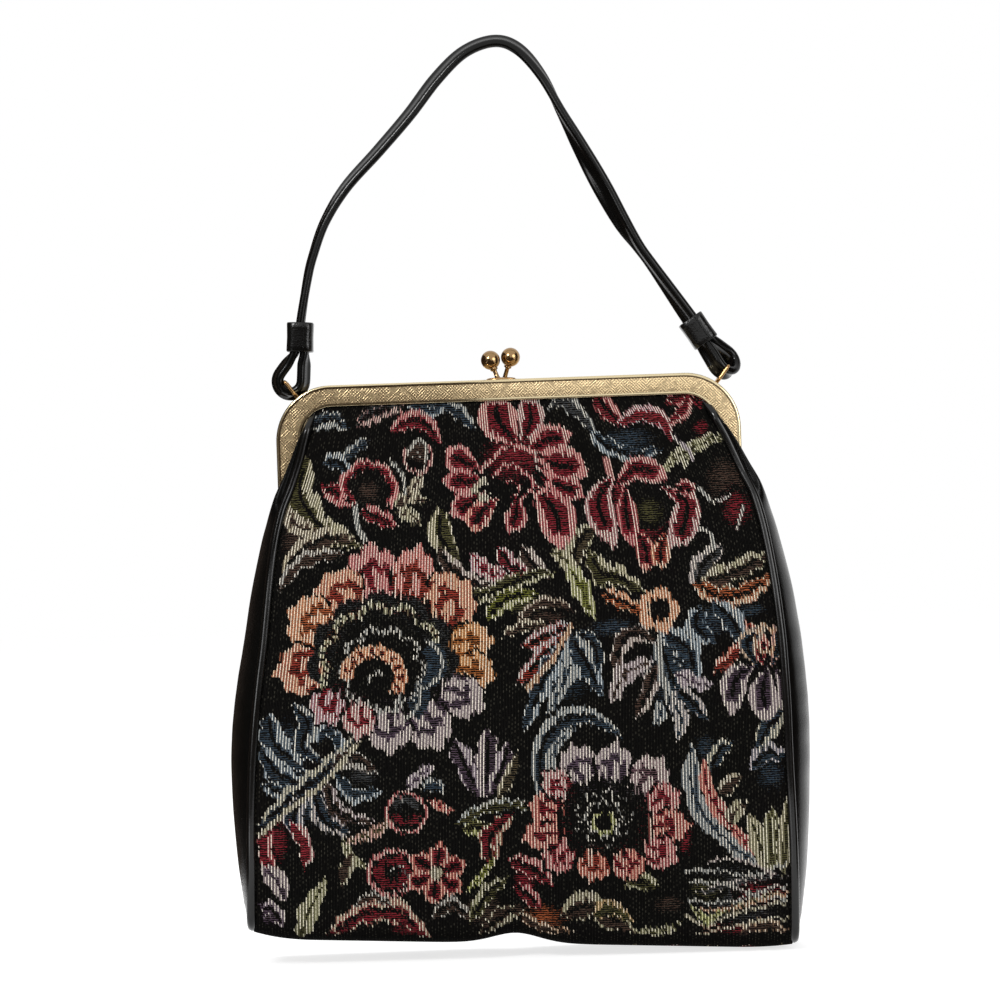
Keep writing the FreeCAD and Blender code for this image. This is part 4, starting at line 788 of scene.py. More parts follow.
class Design:
    # colours of the tapestry at a set of points

    def __init__(self, x, z, column):
        # each column of thread starts and ends a little higher or lower than its neighbours
        wander = np.modf(np.abs(np.sin(column * 12.9898 + 4.1) * 43758.5453))[0]
        self.x = x
        self.z = z + (wander - 0.5) * FLOAT_JITTER
        self.uneven = np.modf(wander * 7.3)[0]
        self.thread = np.zeros((len(x), 4))
        self.weft = np.zeros((len(x), 4))

    def weave(self, picks, yarn, floats, weft, back=None):
        # floats and weft are how much of each thread shows, 0 to 1
        self.thread[picks, :3] = linear(*YARNS[yarn][0])
        self.weft[picks, :3] = linear(*YARNS[back or yarn][1])
        self.thread[picks, 3] = floats
        self.weft[picks, 3] = weft

    def inside_box(self, low, high):
        return np.flatnonzero((self.x > low[0]) & (self.x < high[0]) & (self.z > low[1]) & (self.z < high[1]))

    def along(self, points, width):
        # share along a curve and signed distance from it, for the points near it
        curve = curve_through(np.reshape(points, (-1, 2)), CURVE_STEPS)
        run = directions(curve)
        picks = self.inside_box(curve.min(0) - width, curve.max(0) + width)
        here = np.stack((self.x[picks], self.z[picks]), axis=1)
        near = ((here[:, None] - curve[None]) ** 2).sum(-1).argmin(1)
        off = here - curve[near]
        beyond = np.abs((run[near] * off).sum(1))
        held = ~(((near == 0) | (near == len(curve) - 1)) & (beyond > PAST_END))
        side = run[near, 0] * off[:, 1] - run[near, 1] * off[:, 0]
        return picks[held], near[held] / (len(curve) - 1.0), side[held]

    def patch(self, yarn, x, z, reach_x, reach_z):
        away = ((self.x - x) / reach_x) ** 2 + ((self.z - z) / reach_z) ** 2
        picks = np.flatnonzero(away < 1)
        self.weave(picks, yarn, 0.0, 1.0 - 0.75 * away[picks])

    def leaf(self, width, yarn, back, teeth, lit, *points):
        picks, share, side = self.along(points, width + 1.0)
        reach = width * np.sin(np.pi * np.clip(share, 0.02, 0.98) ** 0.85) ** 0.6
        if teeth:
            reach = reach * (0.6 + 0.4 * (1 - np.abs(2 * np.modf(share * teeth)[0] - 1)) ** 0.7)
        ratio = side / reach
        uneven = self.uneven[picks]
        if lit == 2:
            shown = (np.abs(ratio) > 0.12) & (uneven > 0.28 - 0.4 * np.abs(ratio))
        elif lit:
            shown = (ratio * lit > 0.15 + 0.4 * uneven) | (ratio * lit < -0.7 - 0.25 * uneven)
        else:
            shown = np.abs(ratio) > 0.45 + 0.3 * uneven
        held = np.abs(ratio) < 1
        self.weave(picks[held], yarn, shown[held], 1.0, back)
        if width > VEINED_FROM and lit != 2:
            vein = held & (np.abs(side) < VEIN_HALF) & (share > 0.08) & (share < 0.8)
            self.weave(picks[vein], yarn, 0.0, 0.0)

    def stem(self, width, yarn, *points):
        picks, side = self.along(points, width + 1.0)[::2]
        self.weave(picks[np.abs(side) < width], yarn, 1.0, 0.0)

    def hollow(self, width, yarn, heart, *points):
        picks, share, side = self.along(points, width + 1.0)
        reach = width * np.sin(np.pi * np.clip(share, 0.02, 0.98) ** 1.25) ** 0.6
        ratio = np.abs(side) / reach
        rim = np.maximum(ratio, smoothstep((share - 0.72) / 0.2))
        held = ratio < 1
        floats = rim > 0.45 + 0.25 * self.uneven[picks]
        self.weave(picks[held], yarn, floats[held], (rim > 0.12)[held], heart)

    def fan(self, width, yarn, back, *points):
        # a domed petal of three scallops, with a dark edge, a contour line and slits up from its root
        root, tip = np.reshape(points, (2, 2)).astype(float)
        length = np.linalg.norm(tip - root)
        way = (tip - root) / length
        picks = self.inside_box(np.minimum(root, tip) - width - 3, np.maximum(root, tip) + width + 3)
        off = np.stack((self.x[picks], self.z[picks]), axis=1) - root
        rise = off @ way / length
        side = off @ np.array((-way[1], way[0])) / width
        spread = 0.48 + 0.44 * smoothstep(rise / 0.55)
        lobe = 2 * np.modf((side + 1) * FAN_LOBES / 2 + FAN_LOBES)[0] - 1
        uneven = self.uneven[picks]
        top = (1.04 - 0.44 * side ** 2) * (1 - 0.13 * np.abs(lobe)) - 0.05 * uneven
        near = (rise > 0.3) & (rise < top + 1.0 / length) & (np.abs(side) < spread + 1.1 / width)
        self.weave(picks[near], yarn, 0.0, 0.0)
        held = (rise > -0.12) & (rise < top) & (np.abs(side) < spread)
        reach = rise / top
        contour = (np.abs(reach - 0.66 + 0.06 * uneven) < 0.075) & (np.abs(side) < 0.62 * spread)
        slit = (np.abs(lobe - 0.8 * rise) < 0.24 + 0.3 * uneven) & (rise > 0.2) & (reach < 0.64)
        floats = (rise > 0.24 * uneven + 0.1 * np.abs(lobe)) & ~(contour | slit)
        weft = np.where(rise > 0.2, 1.0, 0.5)
        self.weave(picks[held], yarn, floats[held], weft[held], back)

    def ring(self, centre, inner, outer, scallops, wave, squash, first, last, yarn, floats, weft, bars=0):
        dx, dz = self.x - centre[0], (self.z - centre[1]) / squash
        r, a = np.hypot(dx, dz), np.arctan2(dz, dx)
        scale = 1 - wave + wave * np.abs(np.cos(scallops * a / 2)) ** 0.7
        turn = np.modf((a - math.radians(first)) / (2 * math.pi) + 3)[0]
        comb = 0.5 * (outer - inner) * self.uneven if floats and inner else 0.0
        held = (r >= inner * scale + comb) & (r < outer * scale) & (turn * 360 <= last - first)
        if bars:
            held &= np.modf(a * bars / (2 * math.pi) + bars)[0] < BAR_SHARE
        self.weave(np.flatnonzero(held), yarn, floats, weft)

    def star(self, centre, reach, width, count, turn, yarn, back):
        for index in range(count):
            angle = math.radians(turn + index * 360.0 / count)
            way = np.array((math.cos(angle), math.sin(angle))) * reach
            points = [np.array(centre, float) + way * share for share in (0.15, 0.6, 1.0)]
            self.hollow(width, yarn, back, *np.ravel(points))


def draw_design(design):
    layers = ((design.patch, PATCHES), (design.leaf, LEAVES), (design.stem, STEMS), (design.ring, DISCS),
              (design.hollow, HOLLOW), (design.fan, FANS), (design.ring, RINGS))
    for draw, rows in layers:
        for row in rows:
            draw(*row)
    design.star((-38, 33), 13, 4.6, 6, 20, "coral", "crimson")
    design.ring((-38, 33), 0, 3.0, 5, 0.0, 1.0, 0, 360, "cream", 0.7, 1.0)
    # small sprays where the cloth turns under the base
    for index in range(7):
        x = -96 + index * 32
        design.star((x, -18), 10, 4.2, 5, 18, ("rose", "peach", "lilac")[index % 3], "crimson")
        yarn = ("sage", "cream")[index % 2]
        design.leaf(4.5, yarn, "brown", 3, 1, x + 12, -26, x + 17, -16, x + 15, -7)


# Tapestry panels: front or back from the frame's channel down, round the heel and to the middle of the base
PANEL_TOP = 241.5
PANEL_ROW = 1.0
PANEL_COLUMN = 0.68
SEAM_ALLOWANCE = 0.7
IN_CHANNEL = 8.3
TUCK_FROM, TUCK_RISE, TUCK_GAP = 220.0, 9.0, 7.0
HEEL_ROWS = 12
TAPESTRY_BACK_STEP = 8


def panel_rows():
    # height and distance in from the wall's foot for each row, from the top down
    rows = [(z, 0.0) for z in np.arange(PANEL_TOP, SEAM_FOOT, -PANEL_ROW)]
    rows += [(HEEL_RADIUS - HEEL_RADIUS * math.sin(a), HEEL_RADIUS - HEEL_RADIUS * math.cos(a))
             for a in np.linspace(0, math.pi / 2, HEEL_ROWS)]
    rows += [(0.0, HEEL_RADIUS + step) for step in np.linspace(0, HEEL_DEPTH - HEEL_RADIUS, HEEL_ROWS)[1:]]
    return np.array(rows)


def frame_tuck(x, z):
    # 1 where the cloth passes behind the band, 0 where it lies in front
    inner_half = FRAME_HALF - ARM_FACE - CORNER_INNER
    inner_top = BAG_HEIGHT - BAND
    inner_z = inner_top - CORNER_INNER
    corner = CORNER_INNER - np.hypot(np.maximum(np.abs(x) - inner_half, 0), np.maximum(z - inner_z, 0))
    gap = np.where(np.abs(x) < inner_half, inner_top - z, corner)
    return smoothstep((z - TUCK_FROM) / TUCK_RISE) * (1 - smoothstep(gap / TUCK_GAP))


def panel_grid(side, columns, inset=0.0, row_step=1, half_limit=None, base_lift=None):
    z, under = panel_rows()[::row_step].T
    u = np.linspace(-1, 1, columns)
    half = smooth_column(SEAM, 1, z) - SEAM_ALLOWANCE - inset
    if half_limit is not None:
        half = np.minimum(half, half_limit(z))
    depth = smooth_column(SEAM, 2, z) - under
    crown = smooth_column(SEAM, 3, z)
    x = half[:, None] * u
    face = depth[:, None] + crown[:, None] * (1 - u ** 2)
    height = np.repeat(z[:, None], columns, axis=1)
    tuck = frame_tuck(x, height)
    face = face * (1 - tuck) + IN_CHANNEL * tuck
    y = side * np.maximum(face - inset, 0.0)
    if inset:
        lift = smoothstep(under / HEEL_RADIUS)[:, None]
        height = np.maximum(height, (base_lift or inset) * lift)
    return settle(np.stack((x, y, height), axis=-1))[:, ::-side]


def make_tapestry(name, side):
    columns = int(2 * SEAM_FOOT_HALF / PANEL_COLUMN)
    outer = panel_grid(side, columns)
    inner = panel_grid(side, columns, inset=CLOTH)
    piece = slab(name, outer, inner, TAPESTRY, step=TAPESTRY_BACK_STEP)
    mesh = piece.data
    count = len(mesh.vertices)
    places = np.zeros(count * 3)
    mesh.vertices.foreach_get("co", places)
    places = places.reshape(-1, 3) / MM
    shown = outer.reshape(-1, 3)
    design_z = shown[:, 2] - np.repeat(panel_rows()[:, 1], columns)
    column = np.tile(np.arange(columns), len(outer))
    design = Design(-side * shown[:, 0], design_z, column)
    draw_design(design)
    for label, colours in (("thread", design.thread), ("weft", design.weft)):
        whole = np.zeros((count, 4))
        whole[:len(colours)] = colours
        attribute = mesh.attributes.new(label, "FLOAT_COLOR", "POINT")
        attribute.data.foreach_set("color", whole.astype(np.float32).ravel())
    uv = places[:, [0, 2]]
    uv[:len(design_z)] = np.stack((column / 2.0, design_z), axis=1)
    corners = np.zeros(len(mesh.loops), int)
    mesh.loops.foreach_get("vertex_index", corners)
    mesh.uv_layers.new(name="weave").data.foreach_set("uv", uv[corners].astype(np.float32).ravel())
    return piece


def finish_soft(piece, body, slot, *nodes):
    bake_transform(piece)
    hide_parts(*nodes)


for end, end_name in ENDS:
    panel = make_tapestry("tapestry_" + end_name, end)
    finish_soft(panel, end_name + "_half", "tapestry", "tapestry_lower", "panel_%s_upper" % end_name)

# Gussets: each side is a front and a rear half that meet in the fold
GUSSET_FOOT = 2.2
FOOT_ROWS_TOP = 14.0
FOOT_BULGE, FOOT_BULGE_TOP = 2.5, 12.0
FOOT_TURN_IN, FOOT_TURN_DOWN = 3.0, 0.6
LOBE_FACE = HALF_DEPTH + 0.9
LOBE_FROM, LOBE_RISE = 184.0, 15.0
WRINKLE = 0.12
GUSSET_FOOT_ROWS, GUSSET_ROWS, GUSSET_COLUMNS = 14, 150, 30


def heel_depth_at(z):
    # half depth of the seam, round the heel as well
    rise = np.clip((HEEL_RADIUS - z) / (HEEL_RADIUS - GUSSET_FOOT), 0.0, 1.0)
    curve = HEEL_DEPTH - HEEL_RADIUS + HEEL_RADIUS * np.sqrt(1 - rise ** 2)
    return np.where(z < HEEL_RADIUS, curve, smooth_column(SEAM, 2, z))


def gusset_grid(side, end, inset=0.0):
    z = np.concatenate(([GUSSET_FOOT] * 2, np.linspace(GUSSET_FOOT, FOOT_ROWS_TOP, GUSSET_FOOT_ROWS)[1:],
                        np.linspace(FOOT_ROWS_TOP, LOBE_TIP, GUSSET_ROWS)[1:]))
    s = np.linspace(0, 1, GUSSET_COLUMNS)
    half, bulge = smooth_column(SEAM, 1, z)[:, None], smooth_column(SEAM, 4, z)[:, None]
    depth = heel_depth_at(z)[:, None]
    share = np.clip(z / FOOT_BULGE_TOP, 0.0, 1.0)[:, None]
    bulge = np.where(z[:, None] < FOOT_BULGE_TOP, FOOT_BULGE + (bulge - FOOT_BULGE) * share, bulge)
    # low down the sheet bulges from the seam to the fold, high up it wraps the frame's arm
    low_y = -depth * (1 - s)
    low_x = half + (bulge - inset) * (1 - (1 - s) ** 2) ** 0.62 - inset * 0.3
    out = smooth_column(LOBE_EDGE, 1, z)[:, None] - inset
    bend = 2 * s * (1 - s)
    high_x = half * (1 - s) ** 2 + (out + 0.35 * (out - half)) * bend + (out - 0.4) * s ** 2
    high_y = -((depth - 0.8) * (1 - s) ** 2 + (depth + 3.4) * bend + LOBE_FACE * s ** 2)
    over = smoothstep((z - LOBE_FROM) / LOBE_RISE)[:, None]
    x = low_x * (1 - over) + high_x * over
    y = low_y * (1 - over) + high_y * over
    y = y + inset * (1 - s) * 0.6
    height = np.repeat(z[:, None], len(s), axis=1)
    x[0] -= FOOT_TURN_IN
    height[0] -= FOOT_TURN_DOWN
    wrinkle = WRINKLE * np.sin(height / 2.7 + 3 * np.sin(height / 17.0)) * np.sin(np.pi * s) ** 2
    x = x + wrinkle * smoothstep((height - 20) / 30) * (1 - over)
    return settle(np.stack((side * x, -end * y, height), axis=-1))[:, ::-side * end]


for side, side_name in SIDES:
    for end, end_name in ENDS:
        gusset = slab("gusset_%s_%s" % (side_name, end_name), gusset_grid(side, end),
                      gusset_grid(side, end, VINYL), GUSSET_VINYL, LINING)
        finish_soft(gusset, end_name + "_half", "black_vinyl",
                    "gusset_" + side_name, "lobe_%s_%s" % (end_name, side_name))

# Piping in each seam, from behind the band down and round the heel
PIPING_HEAD = SEAM_HEAD - 3.5
PIPING_TURN = 12.0
PIPING_TUCK_FROM = 226.0
PIPING_IN_CHANNEL = IN_CHANNEL - PIPING_RADIUS - 0.4
PIPING_ROWS, PIPING_TURN_ROWS, PIPING_SIDES = 160, 14, 14


def piping_path(side, end):
    z = np.concatenate((np.linspace(PIPING_HEAD, PIPING_TURN, PIPING_ROWS),
                        np.linspace(PIPING_TURN, GUSSET_FOOT, PIPING_TURN_ROWS)[1:]))
    tuck = smoothstep((z - PIPING_TUCK_FROM) / TUCK_RISE)
    depth = heel_depth_at(z) * (1 - tuck) + PIPING_IN_CHANNEL * tuck
    points = np.stack((side * smooth_column(SEAM, 1, z), end * depth, np.maximum(z, GUSSET_FOOT)), axis=-1)
    under = [(side * SEAM_FOOT_HALF, end * (HEEL_DEPTH - HEEL_RADIUS) * share, GUSSET_FOOT)
             for share in (0.8, 0.4, 0.0)]
    return settle(np.concatenate((points, np.array(under))))


for end, end_name in ENDS:
    tubes = [make_cord("tube", piping_path(side, end), PIPING_RADIUS, PIPING_SIDES, PIPING_VINYL)
             for side, side_name in SIDES]
    piping = join_pieces("piping_cord_" + end_name, tubes)
    finish_soft(piping, end_name + "_half", "black_vinyl", "piping_" + end_name)

# Lining inside each panel, and the stiff board in the base
BOARD_TOP, BOARD_FOOT = 3.6, 1.7
BOARD_HALF_WIDTH, BOARD_HALF_DEPTH = 112.0, 16.5
LINING_GAP, LINING_THICK = 0.4, 0.6
LINING_SEAM = 2.0
LINING_COLUMNS, LINING_ROW_STEP = 60, 3
LINING_OVER_BOARD = 0.2
ARM_CLEARANCE, ARM_FROM, ARM_RISE = 1.6, 180.0, 8.0
BOARD_COLUMNS, BOARD_ROWS = 80, 12


def lining_half(z):
    clear = FRAME_HALF - ARM_FACE - ARM_CLEARANCE
    wide = smooth_column(SEAM, 1, z) - LINING_SEAM
    over = smoothstep((z - ARM_FROM) / ARM_RISE)
    return wide * (1 - over) + np.minimum(wide, clear) * over


def lining_grid(end, gap, over_board):
    return panel_grid(end, LINING_COLUMNS, CLOTH + gap, LINING_ROW_STEP, lining_half, BOARD_TOP + over_board)


def board_grid(level):
    x = np.linspace(-BOARD_HALF_WIDTH, BOARD_HALF_WIDTH, BOARD_COLUMNS)[None, :]
    y = np.linspace(-BOARD_HALF_DEPTH, BOARD_HALF_DEPTH, BOARD_ROWS)[:, None]
    return settle(np.stack(np.broadcast_arrays(x, y, level), axis=-1))


for end, end_name in ENDS:
    outer = lining_grid(end, LINING_GAP, LINING_OVER_BOARD)
    inner = lining_grid(end, LINING_GAP + LINING_THICK, LINING_OVER_BOARD + LINING_THICK)
    lining = slab("lining_" + end_name, outer, inner, LINING)
    finish_soft(lining, end_name + "_half", "lining_cloth", "lining_lower", "lining_%s_upper" % end_name)
board = slab("stiff_board", board_grid(BOARD_TOP), board_grid(BOARD_FOOT), BOARD)
carry(board, "bag", "board", "base_board")

# Frame bands: an etched face between polished beads, on the solid channel.
# Each row has distance in from an edge, distance out from the channel's face, and 1 where it is polished.
BAND_FOOT = HINGE - 1.6
BAND_OUTER = (
    (-0.18, -1.5, 1), (-0.25, -0.7, 1), (-0.16, -0.05, 1), (0.12, 0.34, 1), (0.55, 0.5, 1), (1.0, 0.47, 1),
    (1.3, 0.42, 1), (1.5, 0.39, 1), (1.75, 0.39, 0), (2.2, 0.4, 0), (3.2, 0.42, 0), (4.6, 0.43, 0),
)
BAND_INNER = (
    (-4.0, 0.42, 0), (-2.8, 0.4, 0), (-1.8, 0.36, 0), (-1.2, 0.31, 1), (-0.95, 0.3, 1), (-0.72, 0.36, 1),
    (-0.35, 0.38, 1), (0.0, 0.22, 1), (0.16, -0.15, 1), (0.14, -0.7, 1), (-0.5, -0.4, 1),
)
BAND_BACK = ((0.6, -0.4, 1),)
BAND_ARM_STEPS, BAND_CORNER_STEPS, BAND_BAR_STEPS = 16, 20, 44


def arch_path(half, top, radius):
    left = [(-half, z) for z in np.linspace(BAND_FOOT, top - radius, BAND_ARM_STEPS, endpoint=False)]
    turn = [(radius - half - radius * math.cos(a), top - radius + radius * math.sin(a))
            for a in np.linspace(0, math.pi / 2, BAND_CORNER_STEPS, endpoint=False)]
    across = [(x, top) for x in np.linspace(radius - half, 0, BAND_BAR_STEPS)]
    half_way = left + turn + across
    return np.array(half_way + [(-x, z) for x, z in half_way[-2::-1]])


def make_band(name, side, body):
    outer = arch_path(FRAME_HALF, BAG_HEIGHT, CORNER_OUTER)
    inner = arch_path(FRAME_HALF - ARM_FACE, BAG_HEIGHT - BAND, CORNER_INNER)
    way = inner - outer
    way = way / np.linalg.norm(way, axis=1, keepdims=True)
    rows = []
    polished = []
    for edge, profile in ((outer, BAND_OUTER), (inner, BAND_INNER), (outer, BAND_BACK)):
        for offset, out, shine in profile:
            flat = edge + way * offset
            depth = np.full(len(flat), side * (HALF_DEPTH + out))
            rows.append(np.stack((flat[:, 0], depth, flat[:, 1]), axis=-1))
            polished.append(shine)
    points = np.stack(rows, axis=1)
    count = len(rows)
    piece = make_object(name, points, tube_faces(len(points), count, flip=side > 0), ETCHED_GOLD, EDGE_GOLD)
    for index, polygon in enumerate(piece.data.polygons):
        row = index % count
        polygon.material_index = 1 if polished[row] and polished[(row + 1) % count] else 0
    carry(piece, body, "etched_gold")


# Kiss lock: a ball on a leaning stem from a low plate on each half
BALL_RADIUS = 4.25
BALL_RISE = {"front": 9.0, "rear": 10.2}
BALL_SIDE_GAP = 0.175
BALL_Y = 2.2
LOCK_X = -2.4
STEM_APART = 1.2
BALL_SIDES, BALL_STEPS, PLATE_SIDES = 40, 26, 36
PLATE_HALF_X, PLATE_HALF_Y = 6.5, 2.75
# The plate's rings: share of its size, and level
PLATE_RINGS = ((1.0, 0.0), (1.0, 0.45), (0.93, 0.85), (0.78, 1.05), (0.4, 1.25), (0.15, 1.3))


def lathe(name, foot, axis, profile, material):
    axis = axis / np.linalg.norm(axis)
    side = np.cross(axis, (0, 1, 0))
    side = side / np.linalg.norm(side)
    other = np.cross(axis, side)
    angles = full_turn(BALL_SIDES)
    ring = np.cos(angles)[:, None] * side + np.sin(angles)[:, None] * other
    points = np.stack([foot + axis * rise + ring * radius for radius, rise in profile])
    return make_object(name, points, tube_faces(*points.shape[:2], flip=True), material)


def make_lock(side, end_name):
    foot = np.array((LOCK_X + side * STEM_APART, side * STRAP_Y, BAG_HEIGHT))
    centre = np.array((LOCK_X + side * (BALL_RADIUS + BALL_SIDE_GAP), side * BALL_Y,
                       BAG_HEIGHT + BALL_RISE[end_name]))
    axis = centre - foot
    reach = np.linalg.norm(axis)
    neck = reach - BALL_RADIUS
    profile = [(1.5, 0.1), (1.25, 0.9), (1.0, 1.8), (0.95, neck - 0.9), (1.5, neck - 0.6),
               (1.75, neck - 0.25), (1.6, neck + 0.1)]
    profile += [(BALL_RADIUS * math.cos(a), reach + BALL_RADIUS * math.sin(a))
                for a in np.linspace(-math.pi / 2 + 0.32, math.pi / 2 - 0.02, BALL_STEPS)]
    # the ball's darker gold is painted shade for the dark surroundings it reflects
    ball = lathe("ball", foot, axis, profile, BALL_GOLD)
    turns = full_turn(PLATE_SIDES)
    rings = []
    for grow, level in PLATE_RINGS:
        x = LOCK_X + PLATE_HALF_X * grow * np.cos(turns)
        y = side * STRAP_Y + PLATE_HALF_Y * grow * np.sin(turns)
        rings.append(np.stack((x, y, np.full(len(turns), BAG_HEIGHT + level)), axis=-1))
    # the plate takes the darker wire gold as painted shade, for the dark reflections on its top
    plate = make_object("plate", np.stack(rings), tube_faces(len(rings), len(turns)), WIRE_GOLD)
    lock = join_pieces("kiss_lock_" + end_name, [ball, plate])
    carry(lock, end_name + "_half", "polished_gold", "kiss_ball_" + end_name, "kiss_stem_" + end_name)


for end, end_name in ENDS:
    make_band("face_band_" + end_name, end, end_name + "_half")
for end, end_name in ENDS:
    make_lock(end, end_name)

# Strap: rolled edges with a thinner web between them. The arch has x, height over the frame and twist.
ARCH = (
    (-86.4, 48.0, 6), (-83.5, 58.5, 8), (-77.8, 73.0, 12), (-68.0, 88.0, 20), (-53.2, 103.5, 24),
    (-39.0, 119.0, 26), (-26.2, 134.7, 28), (-13.6, 146.0, 26), (0.0, 150.3, 26), (10.6, 146.2, 25),
    (20.4, 134.0, 14), (28.6, 117.4, -5), (36.8, 100.9, -35), (45.3, 84.0, -58), (53.6, 68.0, -40),
    (60.2, 57.5, -14), (66.6, 48.0, -12),
)
LOOP_LEAN = 56.0
LOOP_STAND = 3.8
# Each folded end: side, height of the sleeve's foot over the bore, its shift, tilt and twist
LOOPS = {"left": (-1, 11.3, -4.5, 3.0, 0.0), "right": (1, 11.5, 2.8, -33.0, 50.0)}
# How far the worn loop and the sleeve's foot hang from the plan, and the splay of the loop's back edge
SLACK = {"left": ((2.0, -2.3), (1.6, -0.7), 20.0), "right": ((-0.8, 0.0), (0.0, 0.0), 0.0)}
SPLAY_RUN = 6.0
TWISTED_NARROWER = 0.8
SLEEVE_HALF_X, SLEEVE_HALF_Y, SLEEVE_CORNER = 5.75, 6.3, 3.4
# The sleeve's rings: rise from its foot, and growth of its size
SLEEVE_RINGS = (
    (0.3, -1.3), (0.0, -0.7), (0.05, -0.2), (0.5, 0.1), (2.5, 0.05), (6.5, -0.05), (10.5, 0.05),
    (12.5, 0.1), (12.95, -0.2), (13.0, -0.7), (12.7, -1.3),
)
STITCH_PITCH, STITCH_LONG, STITCH_RADIUS, STITCH_SINK = 1.25, 0.85, 0.2, 0.1
STITCH_SIDE, STITCH_OUT = 1.7, 6.42
STITCH_FIRST, STITCH_LAST, STITCH_SIDES = 1.4, 12.0, 8
LOOP_STEPS, LOOP_SMOOTHINGS, ARCH_STEPS = 26, 3, 12


def strap_section(width=STRAP_WIDTH):
    bead = STRAP_THICK / 2 - 0.1
    centre = width / 2 - bead
    web = bead * 0.72
    right = [(centre + bead * math.cos(a), bead * math.sin(a))
             for a in np.radians(np.linspace(-125, 125, 13))]
    right += [(centre * 0.3, web), (-centre * 0.3, web)]
    return right + [(-x, -y) for x, y in right]


def in_depth(plan, y=STRAP_Y):
    # points or directions drawn in the frame's plane, at one depth
    plan = np.asarray(plan)
    return np.stack((plan[..., 0], np.full(plan.shape[:-1], y), plan[..., 1]), axis=-1)


def loop_plan(name):
    # the bore's centre, the sleeve's foot, and the sleeve's own up and right
    side, drop, shift, tilt = LOOPS[name][:4]
    loop_slack, foot_slack = SLACK[name][:2]
    lean, tilt = math.radians(LOOP_LEAN), math.radians(tilt)
    reach = CORNER_OUTER + LOOP_STAND + STRAP_THICK + LOOP_BORE
    centre = np.array((side * (FRAME_HALF - CORNER_OUTER + reach * math.cos(lean)),
                       BAG_HEIGHT - CORNER_OUTER + reach * math.sin(lean)))
    up = np.array((math.sin(tilt), math.cos(tilt)))
    right = np.array((math.cos(tilt), -math.sin(tilt)))
    return centre + loop_slack, centre - right * shift + up * drop + foot_slack, up, right


def touch(point, centre, radius, turn):
    # angle where a line from the point touches the circle
    gap = point - centre
    return math.atan2(gap[1], gap[0]) + turn * math.acos(radius / math.hypot(*gap))


def even_run(start, end):
    # points about a millimetre apart
    count = max(2, round(np.linalg.norm(end - start)))
    return start + (end - start) * np.linspace(0, 1, count, endpoint=False)[:, None]


def make_loop(name):
    drop, twist = LOOPS[name][1], LOOPS[name][4]
    centre, foot, up, right = loop_plan(name)
    radius = LOOP_BORE + STRAP_THICK / 2
    strand = STRAP_THICK / 2 * 0.98
    feet = [foot - right * strand, foot + right * strand]
    heads = [end + up * SLEEVE_LENGTH * 0.9 for end in feet]
    a = touch(feet[0], centre, radius, 1)
    b = touch(feet[1], centre, radius, -1)
    if b < a:
        b += 2 * math.pi
    arc = [centre + radius * np.array((math.cos(t), math.sin(t))) for t in np.linspace(a, b, LOOP_STEPS)]
    plan = np.concatenate((even_run(heads[0], feet[0]), even_run(feet[0], arc[0]), arc,
                           even_run(arc[-1], feet[1])[1:], even_run(feet[1], heads[1]), heads[1:]))
    for smoothing in range(LOOP_SMOOTHINGS):
        plan[1:-1] = (plan[:-2] + 2 * plan[1:-1] + plan[2:]) / 4
    path = in_depth(plan)
    across = np.tile(DEPTHWAYS, (len(path), 1))
    flat = np.cross(directions(path), across)
    splay = np.radians(SLACK[name][2] * smoothstep(-((plan - foot) @ up) / SPLAY_RUN))[:, None]
    level, lift = np.cos(splay), np.sin(splay)
    across, flat = across * level - flat * lift, flat * level + across * lift
    if twist:
        axis, pivot = in_depth(up, 0.0), in_depth(foot)
        below = np.clip(-((path - pivot) @ axis) / drop, -1.0, 1.2)
        for index, angle in enumerate(np.radians(twist * smoothstep(0.66 + 0.5 * below))):
            spin = np.array(Matrix.Rotation(angle, 3, Vector(axis)))
            path[index] = pivot + spin @ (path[index] - pivot)
            across[index], flat[index] = spin @ across[index], spin @ flat[index]
    section = strap_section(STRAP_WIDTH - TWISTED_NARROWER * bool(twist))
    piece = sweep("strap_fold_" + name, path, across, flat, section, STRAP_VINYL)
    carry(piece, "rear_half", "black_vinyl", "strap_loop_" + name)


def rounded_box(half_x, half_y, corner):
    points = []
    for start, sx, sy in ((0, 1, 1), (90, -1, 1), (180, -1, -1), (270, 1, -1)):
        for angle in np.radians(np.linspace(start, start + 90, 7)):
            points.append((sx * (half_x - corner) + corner * math.cos(angle),
                           sy * (half_y - corner) + corner * math.sin(angle)))
    return np.array(points)


def make_sleeve(name):
    foot, up, right = loop_plan(name)[1:]
    base, axis, side = in_depth(foot), in_depth(up, 0.0), in_depth(right, 0.0)
    rings = []
    for rise, grow in SLEEVE_RINGS:
        shape = rounded_box(SLEEVE_HALF_X + grow, SLEEVE_HALF_Y + grow, SLEEVE_CORNER)
        rings.append(base + axis * rise + shape[:, :1] * side + shape[:, 1:] * DEPTHWAYS)
    points = np.stack(rings)
    pieces = [make_object("sleeve", points, grid_faces(*points.shape[:2], wrap=True), SLEEVE_VINYL)]
    for rise in np.arange(STITCH_FIRST, STITCH_LAST, STITCH_PITCH):
        start = base + axis * rise + side * STITCH_SIDE - DEPTHWAYS * STITCH_OUT
        path = np.stack([start + axis * step for step in np.linspace(0, STITCH_LONG, 4)])
        path[[0, -1]] += DEPTHWAYS * STITCH_SINK
        pieces.append(make_cord("stitch", path, STITCH_RADIUS, STITCH_SIDES, STRAP_VINYL))
    carry(join_pieces("sleeve_band_" + name, pieces), "rear_half", "black_vinyl", "sleeve_" + name)


